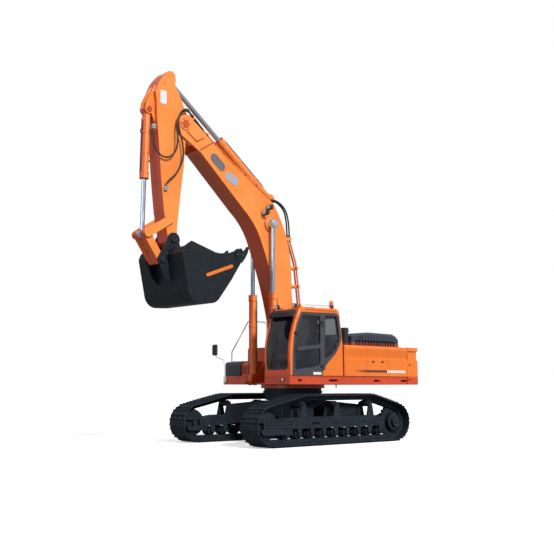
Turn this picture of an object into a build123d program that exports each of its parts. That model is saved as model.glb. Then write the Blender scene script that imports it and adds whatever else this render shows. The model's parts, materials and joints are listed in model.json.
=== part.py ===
"""Crawler excavator of the 48 tonne class, in millimetres.

+X points forward to the boom, +Y to the left (cab side), +Z up.
The origin lies on the slewing axis, on the ground that the tracks stand on.
"""

import os
from math import acos, atan2, cos, degrees, hypot, pi, radians, sin

from build123d import *

# ---------------------------------------------------------------- undercarriage
TUMBLER_DISTANCE = 4430.0  # idler axle to sprocket axle
TRACK_CENTRE = 35.0  # middle of the tracks ahead of the slewing axis
GAUGE = 2900.0  # centre to centre of the two tracks
SHOE_WIDTH = 650.0
SHOE_PITCH = 216.0  # nominal, fitted to the loop's length
END_RADIUS = 506.0  # ground to the axle of idler and sprocket
TRACK_HEIGHT = 1255.0  # ground to the shoes of the top run
FRONT_CARRIER_BACK = 1100.0  # idler axle back to the front carrier roller
REAR_CARRIER_AHEAD = 940.0  # sprocket axle forward to the rear carrier roller
LINK_HALF_HEIGHT = 60.0  # chain rail, either side of the pitch line
SHOE_PLATE = 14.0
GROUSER = 36.0
RAIL_OFFSET = 80.0  # chain rail's middle from the track's middle
RAIL_WIDTH = 50.0
CARRIER_RADIUS = 80.0
ROLLER_RADIUS = 108.0
ROLLER_COUNT = 9
ROLLER_END = 560.0  # axle of idler or sprocket to the nearest bottom roller
SPROCKET_TEETH = 23
SEAT_GAP = 0.3  # between a piece and the seat it is fastened to
RUNNING_GAP = 0.3  # rollers and wheels to the chain rails
CARRIER_GAP = 12.0  # the chain's flat links dip between their pins over a carrier roller
SLEW_RING_RADIUS = 760.0
SLEW_RING_TOP = 1385.0
TURRET_TOP = 1240.0
TURRET_RADIUS = 730.0

# ---------------------------------------------------------------- upper frame
DECK_BOTTOM = 1483.0
DECK_TOP = 1700.0
HALF_WIDTH = 1487.0
SKIRT_INSET = 30.0
TRENCH_HALF_WIDTH = 525.0  # boom trench between the cab and the right deck
CAB_DECK_FRONT = 1442.0
RIGHT_DECK_FRONT = 1187.0
PANEL_TOP = 2500.0
PANEL_FRONT = -434.0
TAIL_RADIUS = 3740.0
COUNTERWEIGHT_DEPTH = 790.0
FRAME_TAIL = COUNTERWEIGHT_DEPTH - TAIL_RADIUS
BEAM_STEP = 800.0  # from one cross beam of the frame to the next
PLATE = 40.0  # frame plates

# ---------------------------------------------------------------- pivots in side view
BOOM_FOOT = (430.0, 2330.0)
BOOM_CYL_FOOT = (1051.0, 1603.0)
BOOM_CYL_EYE = (1063.0, 5640.0)
ARM_CYL_FOOT = (887.0, 6362.0)
ARM_PIVOT = (3800.0, 7776.0)
ARM_CYL_EYE = (4182.0, 8908.0)
BUCKET_CYL_TOP = (4739.0, 8000.0)
GUIDE_PIVOT = (4180.0, 5370.0)
LINK_PIN = (4800.0, 4980.0)
BUCKET_LINK_PIN = (4400.0, 4390.0)
BUCKET_PIVOT = (4081.0, 4894.0)

# ---------------------------------------------------------------- widths and fits
BOOM_HALF = 280.0
ARM_HALF = 220.0
FORK_GAP = 15.0  # arm and its end bosses to the forks around them
LUG = 45.0
BRACKET_GAP = 10.0  # boom foot to the frame's brackets
BRACKET = 40.0
BOOM_CYL_Y = 405.0
BOOM_EYE_HALF = 70.0
SIDE_GAP = 5.0
BIG_PIN = 65.0
PIN = 50.0
SMALL_PIN = 45.0
PIN_FIT = 0.05  # radial running clearance
EYE_RADIUS = 130.0
SMALL_EYE_RADIUS = 105.0
BARREL_RADIUS = 100.0
ROD_RADIUS = 58.0
ARM_BARREL_RADIUS = 115.0
ARM_ROD_RADIUS = 60.0
BUCKET_BARREL_RADIUS = 98.0
BUCKET_ROD_RADIUS = 55.0
ROD_FIT = 0.05
HEAD_STEP = 12.0  # cylinder head stands out from its barrel
BASE_GAP = 25.0  # barrel's base to the round of the lugs that hold it
BOOM_BARREL_LENGTH = 2215.0  # foot pin to gland
ARM_BARREL_LENGTH = 2115.0
BUCKET_BARREL_LENGTH = 1690.0
BOOM_ROD_FIRST = 1850.0  # foot pin to the rod's inner end
ARM_ROD_FIRST = 1860.0
BUCKET_ROD_FIRST = 1300.0
CYL_EYE_HALF = 65.0
CYL_LUG_GAP = 8.0

# ---------------------------------------------------------------- cab
CAB_RIGHT = 530.0
CAB_WALL = 50.0
CAB_REAR = -410.0
CAB_TOP = 3415.0
GLASS = 8.0
DOOR_GAP = 8.0
DOOR_REAR = 345.0
DOOR_HINGE_Y = HALF_WIDTH + 26.0
HINGE_PIN = 11.0

# ---------------------------------------------------------------- bucket
BUCKET_HALF = 925.0
BUCKET_SIDE = 35.0
BUCKET_WRAPPER = 30.0
TOOTH_COUNT = 5
TOOTH_LENGTH = 300.0

os.makedirs("parts", exist_ok=True)


def save(node, name):
    """Label a finished piece and write it as its own STEP file."""
    node.part.label = name
    export_step(node.part, f"parts/{name}.step")


def side(y):
    """Side-view plane at this y: local x is forward, local y is up."""
    return Plane.XZ.offset(-y)


def between(start, end, distance):
    """Point at this distance from start on the way to end."""
    span = hypot(end[0] - start[0], end[1] - start[1])
    return (
        start[0] + (end[0] - start[0]) * distance / span,
        start[1] + (end[1] - start[1]) * distance / span,
    )


def both_sides(inner, outer):
    """The (low, high) pairs of two like plates, right and left of the middle."""
    return ((-outer, -inner), (inner, outer))


def at(pivot, ahead, above):
    """Point in side view this far ahead of and above a pivot."""
    return (pivot[0] + ahead, pivot[1] + above)


def plate(y_low, y_high, points, mode=Mode.ADD):
    """Polygon in side view, extruded from y_low to y_high."""
    with BuildSketch(side(y_high)) as outline:
        with BuildLine():
            Polyline(*points, close=True)
        make_face()
    extrude(outline.sketch, amount=y_high - y_low, mode=mode)


def disc(y_low, y_high, centre, radius, mode=Mode.ADD):
    """Round boss, pin or bore across the machine, from y_low to y_high."""
    with BuildSketch(side(y_high)) as outline:
        with Locations(centre):
            Circle(radius)
    extrude(outline.sketch, amount=y_high - y_low, mode=mode)


def block(x, y, z, mode=Mode.ADD):
    """Box between three (low, high) pairs."""
    with Locations(((x[0] + x[1]) / 2, (y[0] + y[1]) / 2, (z[0] + z[1]) / 2)):
        Box(x[1] - x[0], y[1] - y[0], z[1] - z[0], mode=mode)


def link(y_low, y_high, a, radius_a, b, radius_b, mode=Mode.ADD):
    """Round-ended bar in side view, from y_low to y_high."""
    with BuildSketch(side(y_high)) as outline:
        with Locations(a):
            Circle(radius_a)
        with Locations(b):
            Circle(radius_b)
        make_hull()
    extrude(outline.sketch, amount=y_high - y_low, mode=mode)


# ================================================================ track loop
PITCH_DROP = LINK_HALF_HEIGHT + SHOE_PLATE + GROUSER  # grouser tip to pitch line
END_PITCH_RADIUS = END_RADIUS - PITCH_DROP
CARRIER_Z = TRACK_HEIGHT - PITCH_DROP - LINK_HALF_HEIGHT - CARRIER_GAP - CARRIER_RADIUS
CARRIER_PITCH_RADIUS = CARRIER_RADIUS + CARRIER_GAP + LINK_HALF_HEIGHT
IDLER_X = TRACK_CENTRE + TUMBLER_DISTANCE / 2
SPROCKET_X = TRACK_CENTRE - TUMBLER_DISTANCE / 2
CARRIER_X = (IDLER_X - FRONT_CARRIER_BACK, 0.0, SPROCKET_X + REAR_CARRIER_AHEAD)

# x, z, pitch radius of what the chain wraps, counter-clockwise seen from the right
pulleys = [
    (IDLER_X, END_RADIUS, END_PITCH_RADIUS),
    (CARRIER_X[0], CARRIER_Z, CARRIER_PITCH_RADIUS),
    (CARRIER_X[-1], CARRIER_Z, CARRIER_PITCH_RADIUS),
    (SPROCKET_X, END_RADIUS, END_PITCH_RADIUS),
]


def chain_path(wheels):
    """Arcs and tangent runs around the wheels as (length, point at distance)."""
    normals = []
    for (x0, z0, r0), (x1, z1, r1) in zip(wheels, wheels[1:] + wheels[:1]):
        distance = hypot(x1 - x0, z1 - z0)
        normals.append(atan2(z1 - z0, x1 - x0) - acos((r0 - r1) / distance))
    pieces = []
    for i, (x, z, r) in enumerate(wheels):
        first = normals[i - 1]
        turn = (normals[i] - first) % (2 * pi)
        pieces.append(("arc", r * turn, (x, z, r, first)))
        x1, z1, r1 = wheels[(i + 1) % len(wheels)]
        n = normals[i]
        start = (x + r * cos(n), z + r * sin(n))
        end = (x1 + r1 * cos(n), z1 + r1 * sin(n))
        pieces.append(("run", hypot(end[0] - start[0], end[1] - start[1]), (start, end)))
    return pieces


def point_on(pieces, distance):
    """Point of the pitch line at this distance along it."""
    for kind, length, data in pieces:
        if distance <= length:
            break
        distance -= length
    if kind == "arc":
        x, z, r, first = data
        return (x + r * cos(first + distance / r), z + r * sin(first + distance / r))
    start, end = data
    return between(start, end, distance)


path = chain_path(pulleys)
loop_length = sum(length for _, length, _ in path)
shoe_count = round(loop_length / SHOE_PITCH)
joints = [point_on(path, loop_length * i / shoe_count) for i in range(shoe_count)]

# along the shoe as a share of its pitch, height above the pitch line
PLATE_IN = LINK_HALF_HEIGHT - 2.0
PLATE_OUT = LINK_HALF_HEIGHT + SHOE_PLATE
TIP = PLATE_OUT + GROUSER
shoe_profile = [
    (0.00, PLATE_IN + 4.0),
    (0.05, PLATE_OUT),
    (0.14, PLATE_OUT),
    (0.22, TIP),
    (0.30, PLATE_OUT),
    (0.62, PLATE_OUT),
    (0.70, TIP),
    (0.78, PLATE_OUT),
    (0.95, PLATE_OUT),
]


def around_loop(profile):
    """Closed outline: the profile repeated on each shoe of the loop."""
    outline = []
    for start, end in zip(joints, joints[1:] + joints[:1]):
        span = hypot(end[0] - start[0], end[1] - start[1])
        tx, tz = (end[0] - start[0]) / span, (end[1] - start[1]) / span
        for share, height in profile:
            x = start[0] + tx * span * share + tz * height
            z = start[1] + tz * span * share - tx * height
            outline.append((x, z))
    return outline


def loop_band(y_low, y_high, outer, inner):
    """Band around the wheels between two repeated profiles."""
    with BuildSketch(side(y_high)) as outline:
        with BuildLine():
            Polyline(*around_loop(outer), close=True)
        make_face()
        with BuildLine():
            Polyline(*around_loop(inner), close=True)
        make_face(mode=Mode.SUBTRACT)
    extrude(outline.sketch, amount=y_high - y_low)


def pipe(points, radius, bend):
    """Round pipe along straight runs, its corners turned to the bend radius."""
    with BuildLine() as route:
        FilletPolyline(*points, radius=bend)
    start = Vector(*points[0])
    with BuildSketch(Plane(origin=start, z_dir=Vector(*points[1]) - start)) as section:
        Circle(radius)
    sweep(section.sketch, path=route.line)


def mirrored(node, name):
    """Right-hand copy of a left-hand piece."""
    with BuildPart() as copy:
        add(node.part)
        mirror(about=Plane.XZ, mode=Mode.REPLACE)
    save(copy, name)


TRACK_Y = GAUGE / 2
with BuildPart() as track_left:
    loop_band(
        TRACK_Y - SHOE_WIDTH / 2,
        TRACK_Y + SHOE_WIDTH / 2,
        shoe_profile,
        [(0.0, PLATE_IN)],
    )
    for rail in (TRACK_Y - RAIL_OFFSET, TRACK_Y + RAIL_OFFSET):
        loop_band(
            rail - RAIL_WIDTH / 2,
            rail + RAIL_WIDTH / 2,
            [(0.0, PLATE_IN + 2.0)],
            [(0.0, -LINK_HALF_HEIGHT)],
        )
save(track_left, "track_left")
mirrored(track_left, "track_right")

# ================================================================ wheels in the tracks
RAIL_Z = PITCH_DROP + LINK_HALF_HEIGHT  # top of the chain rail on the ground
ROLLER_Z = RAIL_Z + RUNNING_GAP + ROLLER_RADIUS
ROLLER_STEP = (TUMBLER_DISTANCE - 2 * ROLLER_END) / (ROLLER_COUNT - 1)
roller_x = [SPROCKET_X + ROLLER_END + ROLLER_STEP * i for i in range(ROLLER_COUNT)]
TREAD_HALF = RAIL_OFFSET + RAIL_WIDTH / 2 + 20.0
FLANGE_HALF = RAIL_OFFSET - RAIL_WIDTH / 2 - 10.0


def turned(centre, rings):
    """Turned piece across the machine: (half width, radius) rings on one centre."""
    for y in (-TRACK_Y, TRACK_Y):
        for half, radius in rings:
            disc(y - half, y + half, centre, radius)


# the flat chords of the chain dip below its round path over a wheel
half_step = loop_length / shoe_count / END_PITCH_RADIUS / 2
chord_dip = END_PITCH_RADIUS * (1 - cos(half_step))
WHEEL_RADIUS = END_PITCH_RADIUS - LINK_HALF_HEIGHT - chord_dip - RUNNING_GAP

with BuildPart() as front_idlers:
    turned(
        (IDLER_X, END_RADIUS),
        ((190.0, 75.0), (TREAD_HALF - 15.0, WHEEL_RADIUS), (FLANGE_HALF, WHEEL_RADIUS + 26.0)),
    )
save(front_idlers, "front_idlers")

# between the rails: one tooth for each half pitch
root, crest = END_PITCH_RADIUS - 32.0, END_PITCH_RADIUS + 22.0
tooth_profile = ((-0.42, root), (-0.16, crest), (0.16, crest), (0.42, root))
with BuildPart() as drive_sprockets:
    teeth = []
    for i in range(SPROCKET_TEETH):
        for share, radius in tooth_profile:
            turn = 2 * pi * (i + share) / SPROCKET_TEETH
            teeth.append((SPROCKET_X + radius * cos(turn), END_RADIUS + radius * sin(turn)))
    for y in (-TRACK_Y, TRACK_Y):
        plate(y - 42.0, y + 42.0, teeth)
        disc(y - 42.0, y + 42.0, (SPROCKET_X, END_RADIUS), 200.0, mode=Mode.SUBTRACT)
save(drive_sprockets, "drive_sprockets")

# hub, cover and cap of each final drive, outward from the frame: y range, radius
drive_rings = (
    (-190.0, -60.0, 175.0),
    (-60.0, 45.0, 199.7),
    (45.0, 170.0, 225.0),
    (170.0, 250.0, 130.0),
)
with BuildPart() as final_drives:
    for hand in (-1, 1):
        for low, high, radius in drive_rings:
            ends = sorted((hand * (TRACK_Y + low), hand * (TRACK_Y + high)))
            disc(ends[0], ends[1], (SPROCKET_X, END_RADIUS), radius)
save(final_drives, "final_drives")

FRAME_HALF = 200.0  # half width of a track frame's box
FRAME_BOTTOM = 420.0
FRAME_TOP = 690.0
COLLAR_IN, COLLAR_OUT = 150.0, 196.0
CARRIER_FOOT, CARRIER_CAP = 125.0, 48.0  # half widths of a carrier roller's bracket
with BuildPart() as bottom_rollers:
    for x in roller_x:
        turned(
            (x, ROLLER_Z),
            ((COLLAR_OUT, 38.0), (TREAD_HALF, ROLLER_RADIUS), (FLANGE_HALF, ROLLER_RADIUS + 20.0)),
        )
        for y in (-TRACK_Y, TRACK_Y):
            for low, high in ((-COLLAR_OUT, -COLLAR_IN), (COLLAR_IN, COLLAR_OUT)):
                block((x - 60, x + 60), (y + low, y + high), (ROLLER_Z - 45, FRAME_BOTTOM))
save(bottom_rollers, "bottom_rollers")

with BuildPart() as carrier_rollers:
    for x in CARRIER_X:
        turned((x, CARRIER_Z), ((COLLAR_OUT, 32.0), (TREAD_HALF, CARRIER_RADIUS)))
        bracket = (
            (x - CARRIER_FOOT, FRAME_TOP),
            (x + CARRIER_FOOT, FRAME_TOP),
            (x + CARRIER_CAP, CARRIER_Z + CARRIER_CAP),
            (x - CARRIER_CAP, CARRIER_Z + CARRIER_CAP),
        )
        for y in (-TRACK_Y, TRACK_Y):
            for low, high in ((-COLLAR_OUT, -COLLAR_IN), (COLLAR_IN, COLLAR_OUT)):
                plate(y + low, y + high, bracket)
save(carrier_rollers, "carrier_rollers")

# ================================================================ track frames
ARM_IN = 160.0  # inner face of the idler yoke and the drive's carrier plates
BOX_FRONT = IDLER_X - WHEEL_RADIUS - 46.0
BOX_REAR = SPROCKET_X + crest + 20.0
YOKE_FRONT = IDLER_X + 260.0
SLOT_HALF = 75.0 + RUNNING_GAP
GUARD = 14.0

with BuildPart() as track_frame_left:
    plate(
        TRACK_Y - FRAME_HALF,
        TRACK_Y + FRAME_HALF,
        (
            (BOX_REAR, FRAME_BOTTOM),
            (BOX_FRONT, FRAME_BOTTOM),
            (BOX_FRONT, FRAME_TOP - 50),
            (BOX_FRONT - 350, FRAME_TOP),
            (BOX_REAR + 250, FRAME_TOP),
            (BOX_REAR, FRAME_TOP - 40),
        ),
    )
    for low, high in ((-FRAME_HALF, -ARM_IN), (ARM_IN, FRAME_HALF)):
        plate(
            TRACK_Y + low,
            TRACK_Y + high,
            (
                (BOX_FRONT - 1, 300.0),
                (YOKE_FRONT - 60, 300.0),
                (YOKE_FRONT, 360.0),
                (YOKE_FRONT, 600.0),
                (YOKE_FRONT - 60, FRAME_TOP - 50),
                (BOX_FRONT - 1, FRAME_TOP - 50),
            ),
        )
    # guard plate over the first rollers and the yoke's outer side
    block(
        (BOX_FRONT - 340, YOKE_FRONT - 60),
        (TRACK_Y + FRAME_HALF - 1, TRACK_Y + FRAME_HALF + GUARD),
        (290.0, FRAME_TOP - 60),
    )
    block(
        (IDLER_X - 130, YOKE_FRONT + 10),
        (TRACK_Y - FRAME_HALF - 5, TRACK_Y + FRAME_HALF + 5),
        (END_RADIUS - SLOT_HALF, END_RADIUS + SLOT_HALF),
        mode=Mode.SUBTRACT,
    )
    # inner plate that carries the final drive
    plate(
        TRACK_Y - FRAME_HALF,
        TRACK_Y - FRAME_HALF + 20,
        (
            (BOX_REAR + 1, 330.0),
            (BOX_REAR + 1, FRAME_TOP - 40),
            (SPROCKET_X, END_RADIUS + 240),
            (SPROCKET_X - 170, END_RADIUS + 170),
            (SPROCKET_X - 240, END_RADIUS),
            (SPROCKET_X - 170, END_RADIUS - 170),
            (SPROCKET_X, END_RADIUS - 240),
        ),
    )
    disc(
        TRACK_Y - FRAME_HALF - 1,
        TRACK_Y - FRAME_HALF + 21,
        (SPROCKET_X, END_RADIUS),
        175.0,
        mode=Mode.SUBTRACT,
    )
    for z in (470.0, 545.0, 620.0):
        block(
            (BOX_FRONT - 330, YOKE_FRONT - 120),
            (TRACK_Y + FRAME_HALF + GUARD - 1, TRACK_Y + FRAME_HALF + GUARD + 22),
            (z - 11, z + 11),
        )
save(track_frame_left, "track_frame_left")
mirrored(track_frame_left, "track_frame_right")

# ================================================================ lower frame and slew ring
LEG_END_Y = TRACK_Y - FRAME_HALF
LEG_ROOT_Y = 430.0
TUB_RADIUS = 640.0
TUB_BOTTOM = 560.0
TUB_TOP = 1080.0
TOW_BORE = 45.0
TOW_PLATE = 60.0
TOW_EYE_RADIUS = 130.0
TOW_X = 1180.0
TOW_Z = 640.0
# four legs, each from its end at the track frame to its root at the tub
leg_sections = (  # y, x and z of the section's centre, length, height
    (LEG_END_Y, 850.0, 705.0, 800.0, 530.0),
    (LEG_ROOT_Y, 420.0, 820.0, 560.0, 500.0),
)
with BuildPart() as lower_frame:
    for hand_x in (-1, 1):
        for hand_y in (-1, 1):
            for y, x, z, length, height in leg_sections:
                with BuildSketch(side(hand_y * y)):
                    with Locations((hand_x * x, z)):
                        Rectangle(length, height)
            loft()
    with BuildSketch(Plane.XY.offset(TUB_BOTTOM)):
        Circle(TUB_RADIUS)
    extrude(amount=TUB_TOP - TUB_BOTTOM)
    with BuildSketch(Plane.XY.offset(TUB_TOP)):
        Circle(TURRET_RADIUS)
    extrude(amount=TURRET_TOP - TUB_TOP)
    for hand in (-1, 1):
        ends = sorted((hand * (TUB_RADIUS - 140), hand * TOW_X))
        block(
            (ends[0], ends[1]),
            (-TOW_EYE_RADIUS, TOW_EYE_RADIUS),
            (TOW_Z - TOW_PLATE / 2, TOW_Z + TOW_PLATE / 2),
        )
        with Locations((hand * TOW_X, 0, TOW_Z)):
            Cylinder(TOW_EYE_RADIUS, TOW_PLATE)
            Cylinder(TOW_BORE, TOW_PLATE, mode=Mode.SUBTRACT)
save(lower_frame, "lower_frame")

with BuildPart() as slew_ring:
    with BuildSketch(Plane.XY.offset(TURRET_TOP)):
        Circle(SLEW_RING_RADIUS)
        Circle(600.0, mode=Mode.SUBTRACT)
    extrude(amount=SLEW_RING_TOP - TURRET_TOP)
save(slew_ring, "slew_ring")

# ================================================================ upper main frame
FRAME_PLATE_IN = BOOM_HALF + BRACKET_GAP
FRAME_PLATE_OUT = FRAME_PLATE_IN + BRACKET
BOOM_EYE_IN = BOOM_CYL_Y - BOOM_EYE_HALF
BOOM_EYE_OUT = BOOM_CYL_Y + BOOM_EYE_HALF
OUTER_LUG_OUT = TRENCH_HALF_WIDTH - 5.0
FOOT_LUG_RADIUS = 140.0
BOOM_FOOT_LUG_RADIUS = 200.0
FRAME_FRONT = 1100.0
UPPER_RING_RADIUS = 843.0
UPPER_RING_BOTTOM = SLEW_RING_TOP + RUNNING_GAP
SKIRT_Y = HALF_WIDTH - SKIRT_INSET

FLOOR_TOP = DECK_BOTTOM + PLATE
BRACKET_TAIL_TOP = DECK_TOP + 60.0  # where the engine rests on the brackets
BEAM_BOTTOM = DECK_BOTTOM + 30.0
TRENCH_WALL = 25.0
beam_x = [FRAME_TAIL + 250.0 + BEAM_STEP * i for i in range(3)]

OUTER_LUG_TAIL = BOOM_CYL_FOOT[0] - 421.0
BEAM_HALF = 60.0
bracket_outline = (
    (FRAME_TAIL, FLOOR_TOP),
    (FRAME_FRONT - 20, FLOOR_TOP),
    at(BOOM_CYL_FOOT, 130, 0),
    at(BOOM_CYL_FOOT, 60, 120),
    at(BOOM_CYL_FOOT, -120, 140),
    at(BOOM_FOOT, 190, -60),
    at(BOOM_FOOT, 0, 60),
    at(BOOM_FOOT, -190, -40),
    (BOOM_FOOT[0] - 880, DECK_TOP + 200),
    (BOOM_FOOT[0] - 1930, BRACKET_TAIL_TOP),
    (FRAME_TAIL, BRACKET_TAIL_TOP),
)
outer_lug_outline = (
    (OUTER_LUG_TAIL, FLOOR_TOP),
    (FRAME_FRONT - 20, FLOOR_TOP),
    at(BOOM_CYL_FOOT, 125, 0),
    at(BOOM_CYL_FOOT, -90, 105),
    (OUTER_LUG_TAIL, BOOM_CYL_FOOT[1] - 3),
)

# centre section: floor, walls of the boom trench and the ring on the slewing bearing
with BuildPart() as main_frame:
    block(
        (FRAME_TAIL, FRAME_FRONT - 20),
        (-TRENCH_HALF_WIDTH, TRENCH_HALF_WIDTH),
        (DECK_BOTTOM, FLOOR_TOP),
    )
    for low, high in both_sides(FRAME_PLATE_IN, TRENCH_HALF_WIDTH):
        block(
            (BOOM_CYL_FOOT[0] - FOOT_LUG_RADIUS - 2, FRAME_FRONT),
            (low, high),
            (DECK_BOTTOM - 1, FLOOR_TOP + 1),
            mode=Mode.SUBTRACT,
        )
    for low, high in both_sides(TRENCH_HALF_WIDTH - TRENCH_WALL, TRENCH_HALF_WIDTH):
        block((FRAME_TAIL, OUTER_LUG_TAIL - PLATE), (low, high), (DECK_BOTTOM, DECK_TOP))
    for x in beam_x:
        for low, high in both_sides(FRAME_PLATE_OUT, TRENCH_HALF_WIDTH - 1):
            block((x - BEAM_HALF, x + BEAM_HALF), (low, high), (BEAM_BOTTOM, DECK_TOP))
    with BuildSketch(Plane.XY.offset(UPPER_RING_BOTTOM)):
        Circle(UPPER_RING_RADIUS)
        Circle(600.0, mode=Mode.SUBTRACT)
    extrude(amount=DECK_BOTTOM + 1 - UPPER_RING_BOTTOM)
save(main_frame, "main_frame")

# upright plates that carry the boom's foot and the feet of its cylinders
with BuildPart() as boom_brackets:
    for low, high in both_sides(FRAME_PLATE_IN, FRAME_PLATE_OUT):
        plate(low, high, bracket_outline)
        disc(low, high, BOOM_FOOT, BOOM_FOOT_LUG_RADIUS)
        disc(low, high, BOOM_CYL_FOOT, FOOT_LUG_RADIUS)
    for low, high in both_sides(BOOM_EYE_OUT + SIDE_GAP, OUTER_LUG_OUT):
        plate(low, high, outer_lug_outline)
        disc(low, high, BOOM_CYL_FOOT, FOOT_LUG_RADIUS)
    disc(-FRAME_PLATE_OUT - 30, FRAME_PLATE_OUT + 30, BOOM_FOOT, BIG_PIN)
    for low, high in both_sides(FRAME_PLATE_IN, OUTER_LUG_OUT):
        disc(low, high, BOOM_CYL_FOOT, PIN)
save(boom_brackets, "boom_brackets")

# one side of the deck: name, y range, outer rail's y range, front end
DECK_RAIL = 90.0
deck_sides = (
    ("deck_left", TRENCH_HALF_WIDTH, SKIRT_Y, SKIRT_Y - DECK_RAIL, SKIRT_Y, CAB_DECK_FRONT),
    ("deck_right", -SKIRT_Y, -TRENCH_HALF_WIDTH, -SKIRT_Y, -SKIRT_Y + DECK_RAIL, RIGHT_DECK_FRONT),
)
# drain and lifting slots in the outer rails: distance of each behind the cab deck's front, length
skirt_slots = ((273.0, 134.0), (1345.0, 325.0), (3036.0, 238.0), (4135.0, 254.0))
SLOT_BOTTOM, SLOT_TOP = DECK_BOTTOM + 75.0, DECK_BOTTOM + 125.0
for name, y_low, y_high, rail_low, rail_high, front in deck_sides:
    with BuildPart() as deck:
        block((FRAME_TAIL, front), (y_low, y_high), (DECK_TOP - PLATE, DECK_TOP))
        block((FRAME_TAIL, front), (rail_low, rail_high), (DECK_BOTTOM, DECK_TOP - 1))
        block((front - DECK_RAIL, front), (y_low, y_high), (DECK_BOTTOM, DECK_TOP - 1))
        for x in (*beam_x, beam_x[-1] + BEAM_STEP, beam_x[-1] + 2 * BEAM_STEP):
            block((x - BEAM_HALF, x + BEAM_HALF), (y_low, y_high), (BEAM_BOTTOM, DECK_TOP - 1))
        for behind, length in skirt_slots:
            end = CAB_DECK_FRONT - behind
            block((end - length, end), (rail_low, rail_high), (SLOT_BOTTOM, SLOT_TOP), Mode.SUBTRACT)
    save(deck, name)

# ================================================================ cab
CAB_FLOOR = DECK_TOP + SEAT_GAP
CAB_FRONT = CAB_DECK_FRONT
brow = (CAB_FRONT - 272, CAB_TOP - 136)
roof_front = (CAB_FRONT - 402, CAB_TOP - 27)
roof_rear = (-130.0, CAB_TOP)


def cab_slab(y_low, y_high, inset=0.0, mode=Mode.ADD):
    """The cab's side outline, drawn in by inset, between two side planes."""
    with BuildSketch(side(y_high)) as outline:
        with BuildLine():
            Line((CAB_FRONT, CAB_FLOOR), (CAB_FRONT, 1900.0))
            ThreePointArc((CAB_FRONT, 1900.0), (CAB_FRONT - 34, 2640.0), brow)
            ThreePointArc(brow, at(brow, -50, 73), roof_front)
            Line(roof_front, roof_rear)
            ThreePointArc(roof_rear, at(roof_rear, -110, -42), at(roof_rear, -160, -140))
            Polyline(
                at(roof_rear, -160, -140),
                (CAB_REAR + 15, PANEL_TOP),
                (CAB_REAR, CAB_FLOOR),
                (CAB_FRONT, CAB_FLOOR),
            )
        make_face()
        if inset:
            offset(amount=-inset, mode=Mode.REPLACE)
    extrude(outline.sketch, amount=y_high - y_low, mode=mode)


door_outline = (
    (DOOR_REAR + DOOR_GAP, CAB_FLOOR + 12),
    (CAB_FRONT - 70, CAB_FLOOR + 12),
    (CAB_FRONT - 76, 2150.0),
    (CAB_FRONT - 112, 2600.0),
    (CAB_FRONT - 227, 3000.0),
    (CAB_FRONT - 357, 3235.0),
    (CAB_FRONT - 402, 3262.0),
    (DOOR_REAR + DOOR_GAP, 3272.0),
)
window_frame_outline = (
    (DOOR_REAR - 2, 1800.0),
    (DOOR_REAR - 2, 3285.0),
    (-150.0, 3300.0),
    (-245.0, 3230.0),
    (-335.0, 2650.0),
    (-270.0, 2480.0),
    (-130.0, 2270.0),
    (130.0, 2050.0),
    (280.0, 1900.0),
)


def inset_plate(y_low, y_high, points, inset, radius=0.0, mode=Mode.ADD):
    """Side-view polygon drawn in by inset, its corners rounded."""
    with BuildSketch(side(y_high)) as outline:
        with BuildLine():
            Polyline(*points, close=True)
        make_face()
        if inset:
            offset(amount=-inset, kind=Kind.INTERSECTION, mode=Mode.REPLACE)
        if radius:
            fillet(outline.vertices(), radius)
    extrude(outline.sketch, amount=y_high - y_low, mode=mode)


# window holes in side view, on the door and on the frame behind it
door_windows = (
    (
        (DOOR_REAR + 85, 2485.0),
        (CAB_FRONT - 168, 2400.0),
        (CAB_FRONT - 185, 2600.0),
        (CAB_FRONT - 290, 2960.0),
        (CAB_FRONT - 420, 3190.0),
        (DOOR_REAR + 85, 3200.0),
    ),
    (
        (DOOR_REAR + 85, 1990.0),
        (DOOR_REAR + 240, 1925.0),
        (CAB_FRONT - 150, 1850.0),
        (CAB_FRONT - 150, 2300.0),
        (DOOR_REAR + 85, 2385.0),
    ),
)
rear_window = (
    (DOOR_REAR - 85, 2120.0),
    (DOOR_REAR - 85, 3210.0),
    (-140.0, 3220.0),
    (-170.0, 3180.0),
    (-258.0, 2660.0),
    (-200.0, 2520.0),
    (-60.0, 2310.0),
)
right_window = ((-160.0, 2250.0), (-90.0, 3180.0), (1010.0, 3180.0), (1250.0, 2640.0), (1290.0, 2250.0))
WINDSCREEN_Y = (CAB_RIGHT + 45, HALF_WIDTH - 88)
WINDSCREEN_Z = (1835.0, 3190.0)
REAR_GLASS_Y = (CAB_RIGHT + 120, HALF_WIDTH - 160)
REAR_GLASS_Z = (2560.0, 3180.0)

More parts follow.
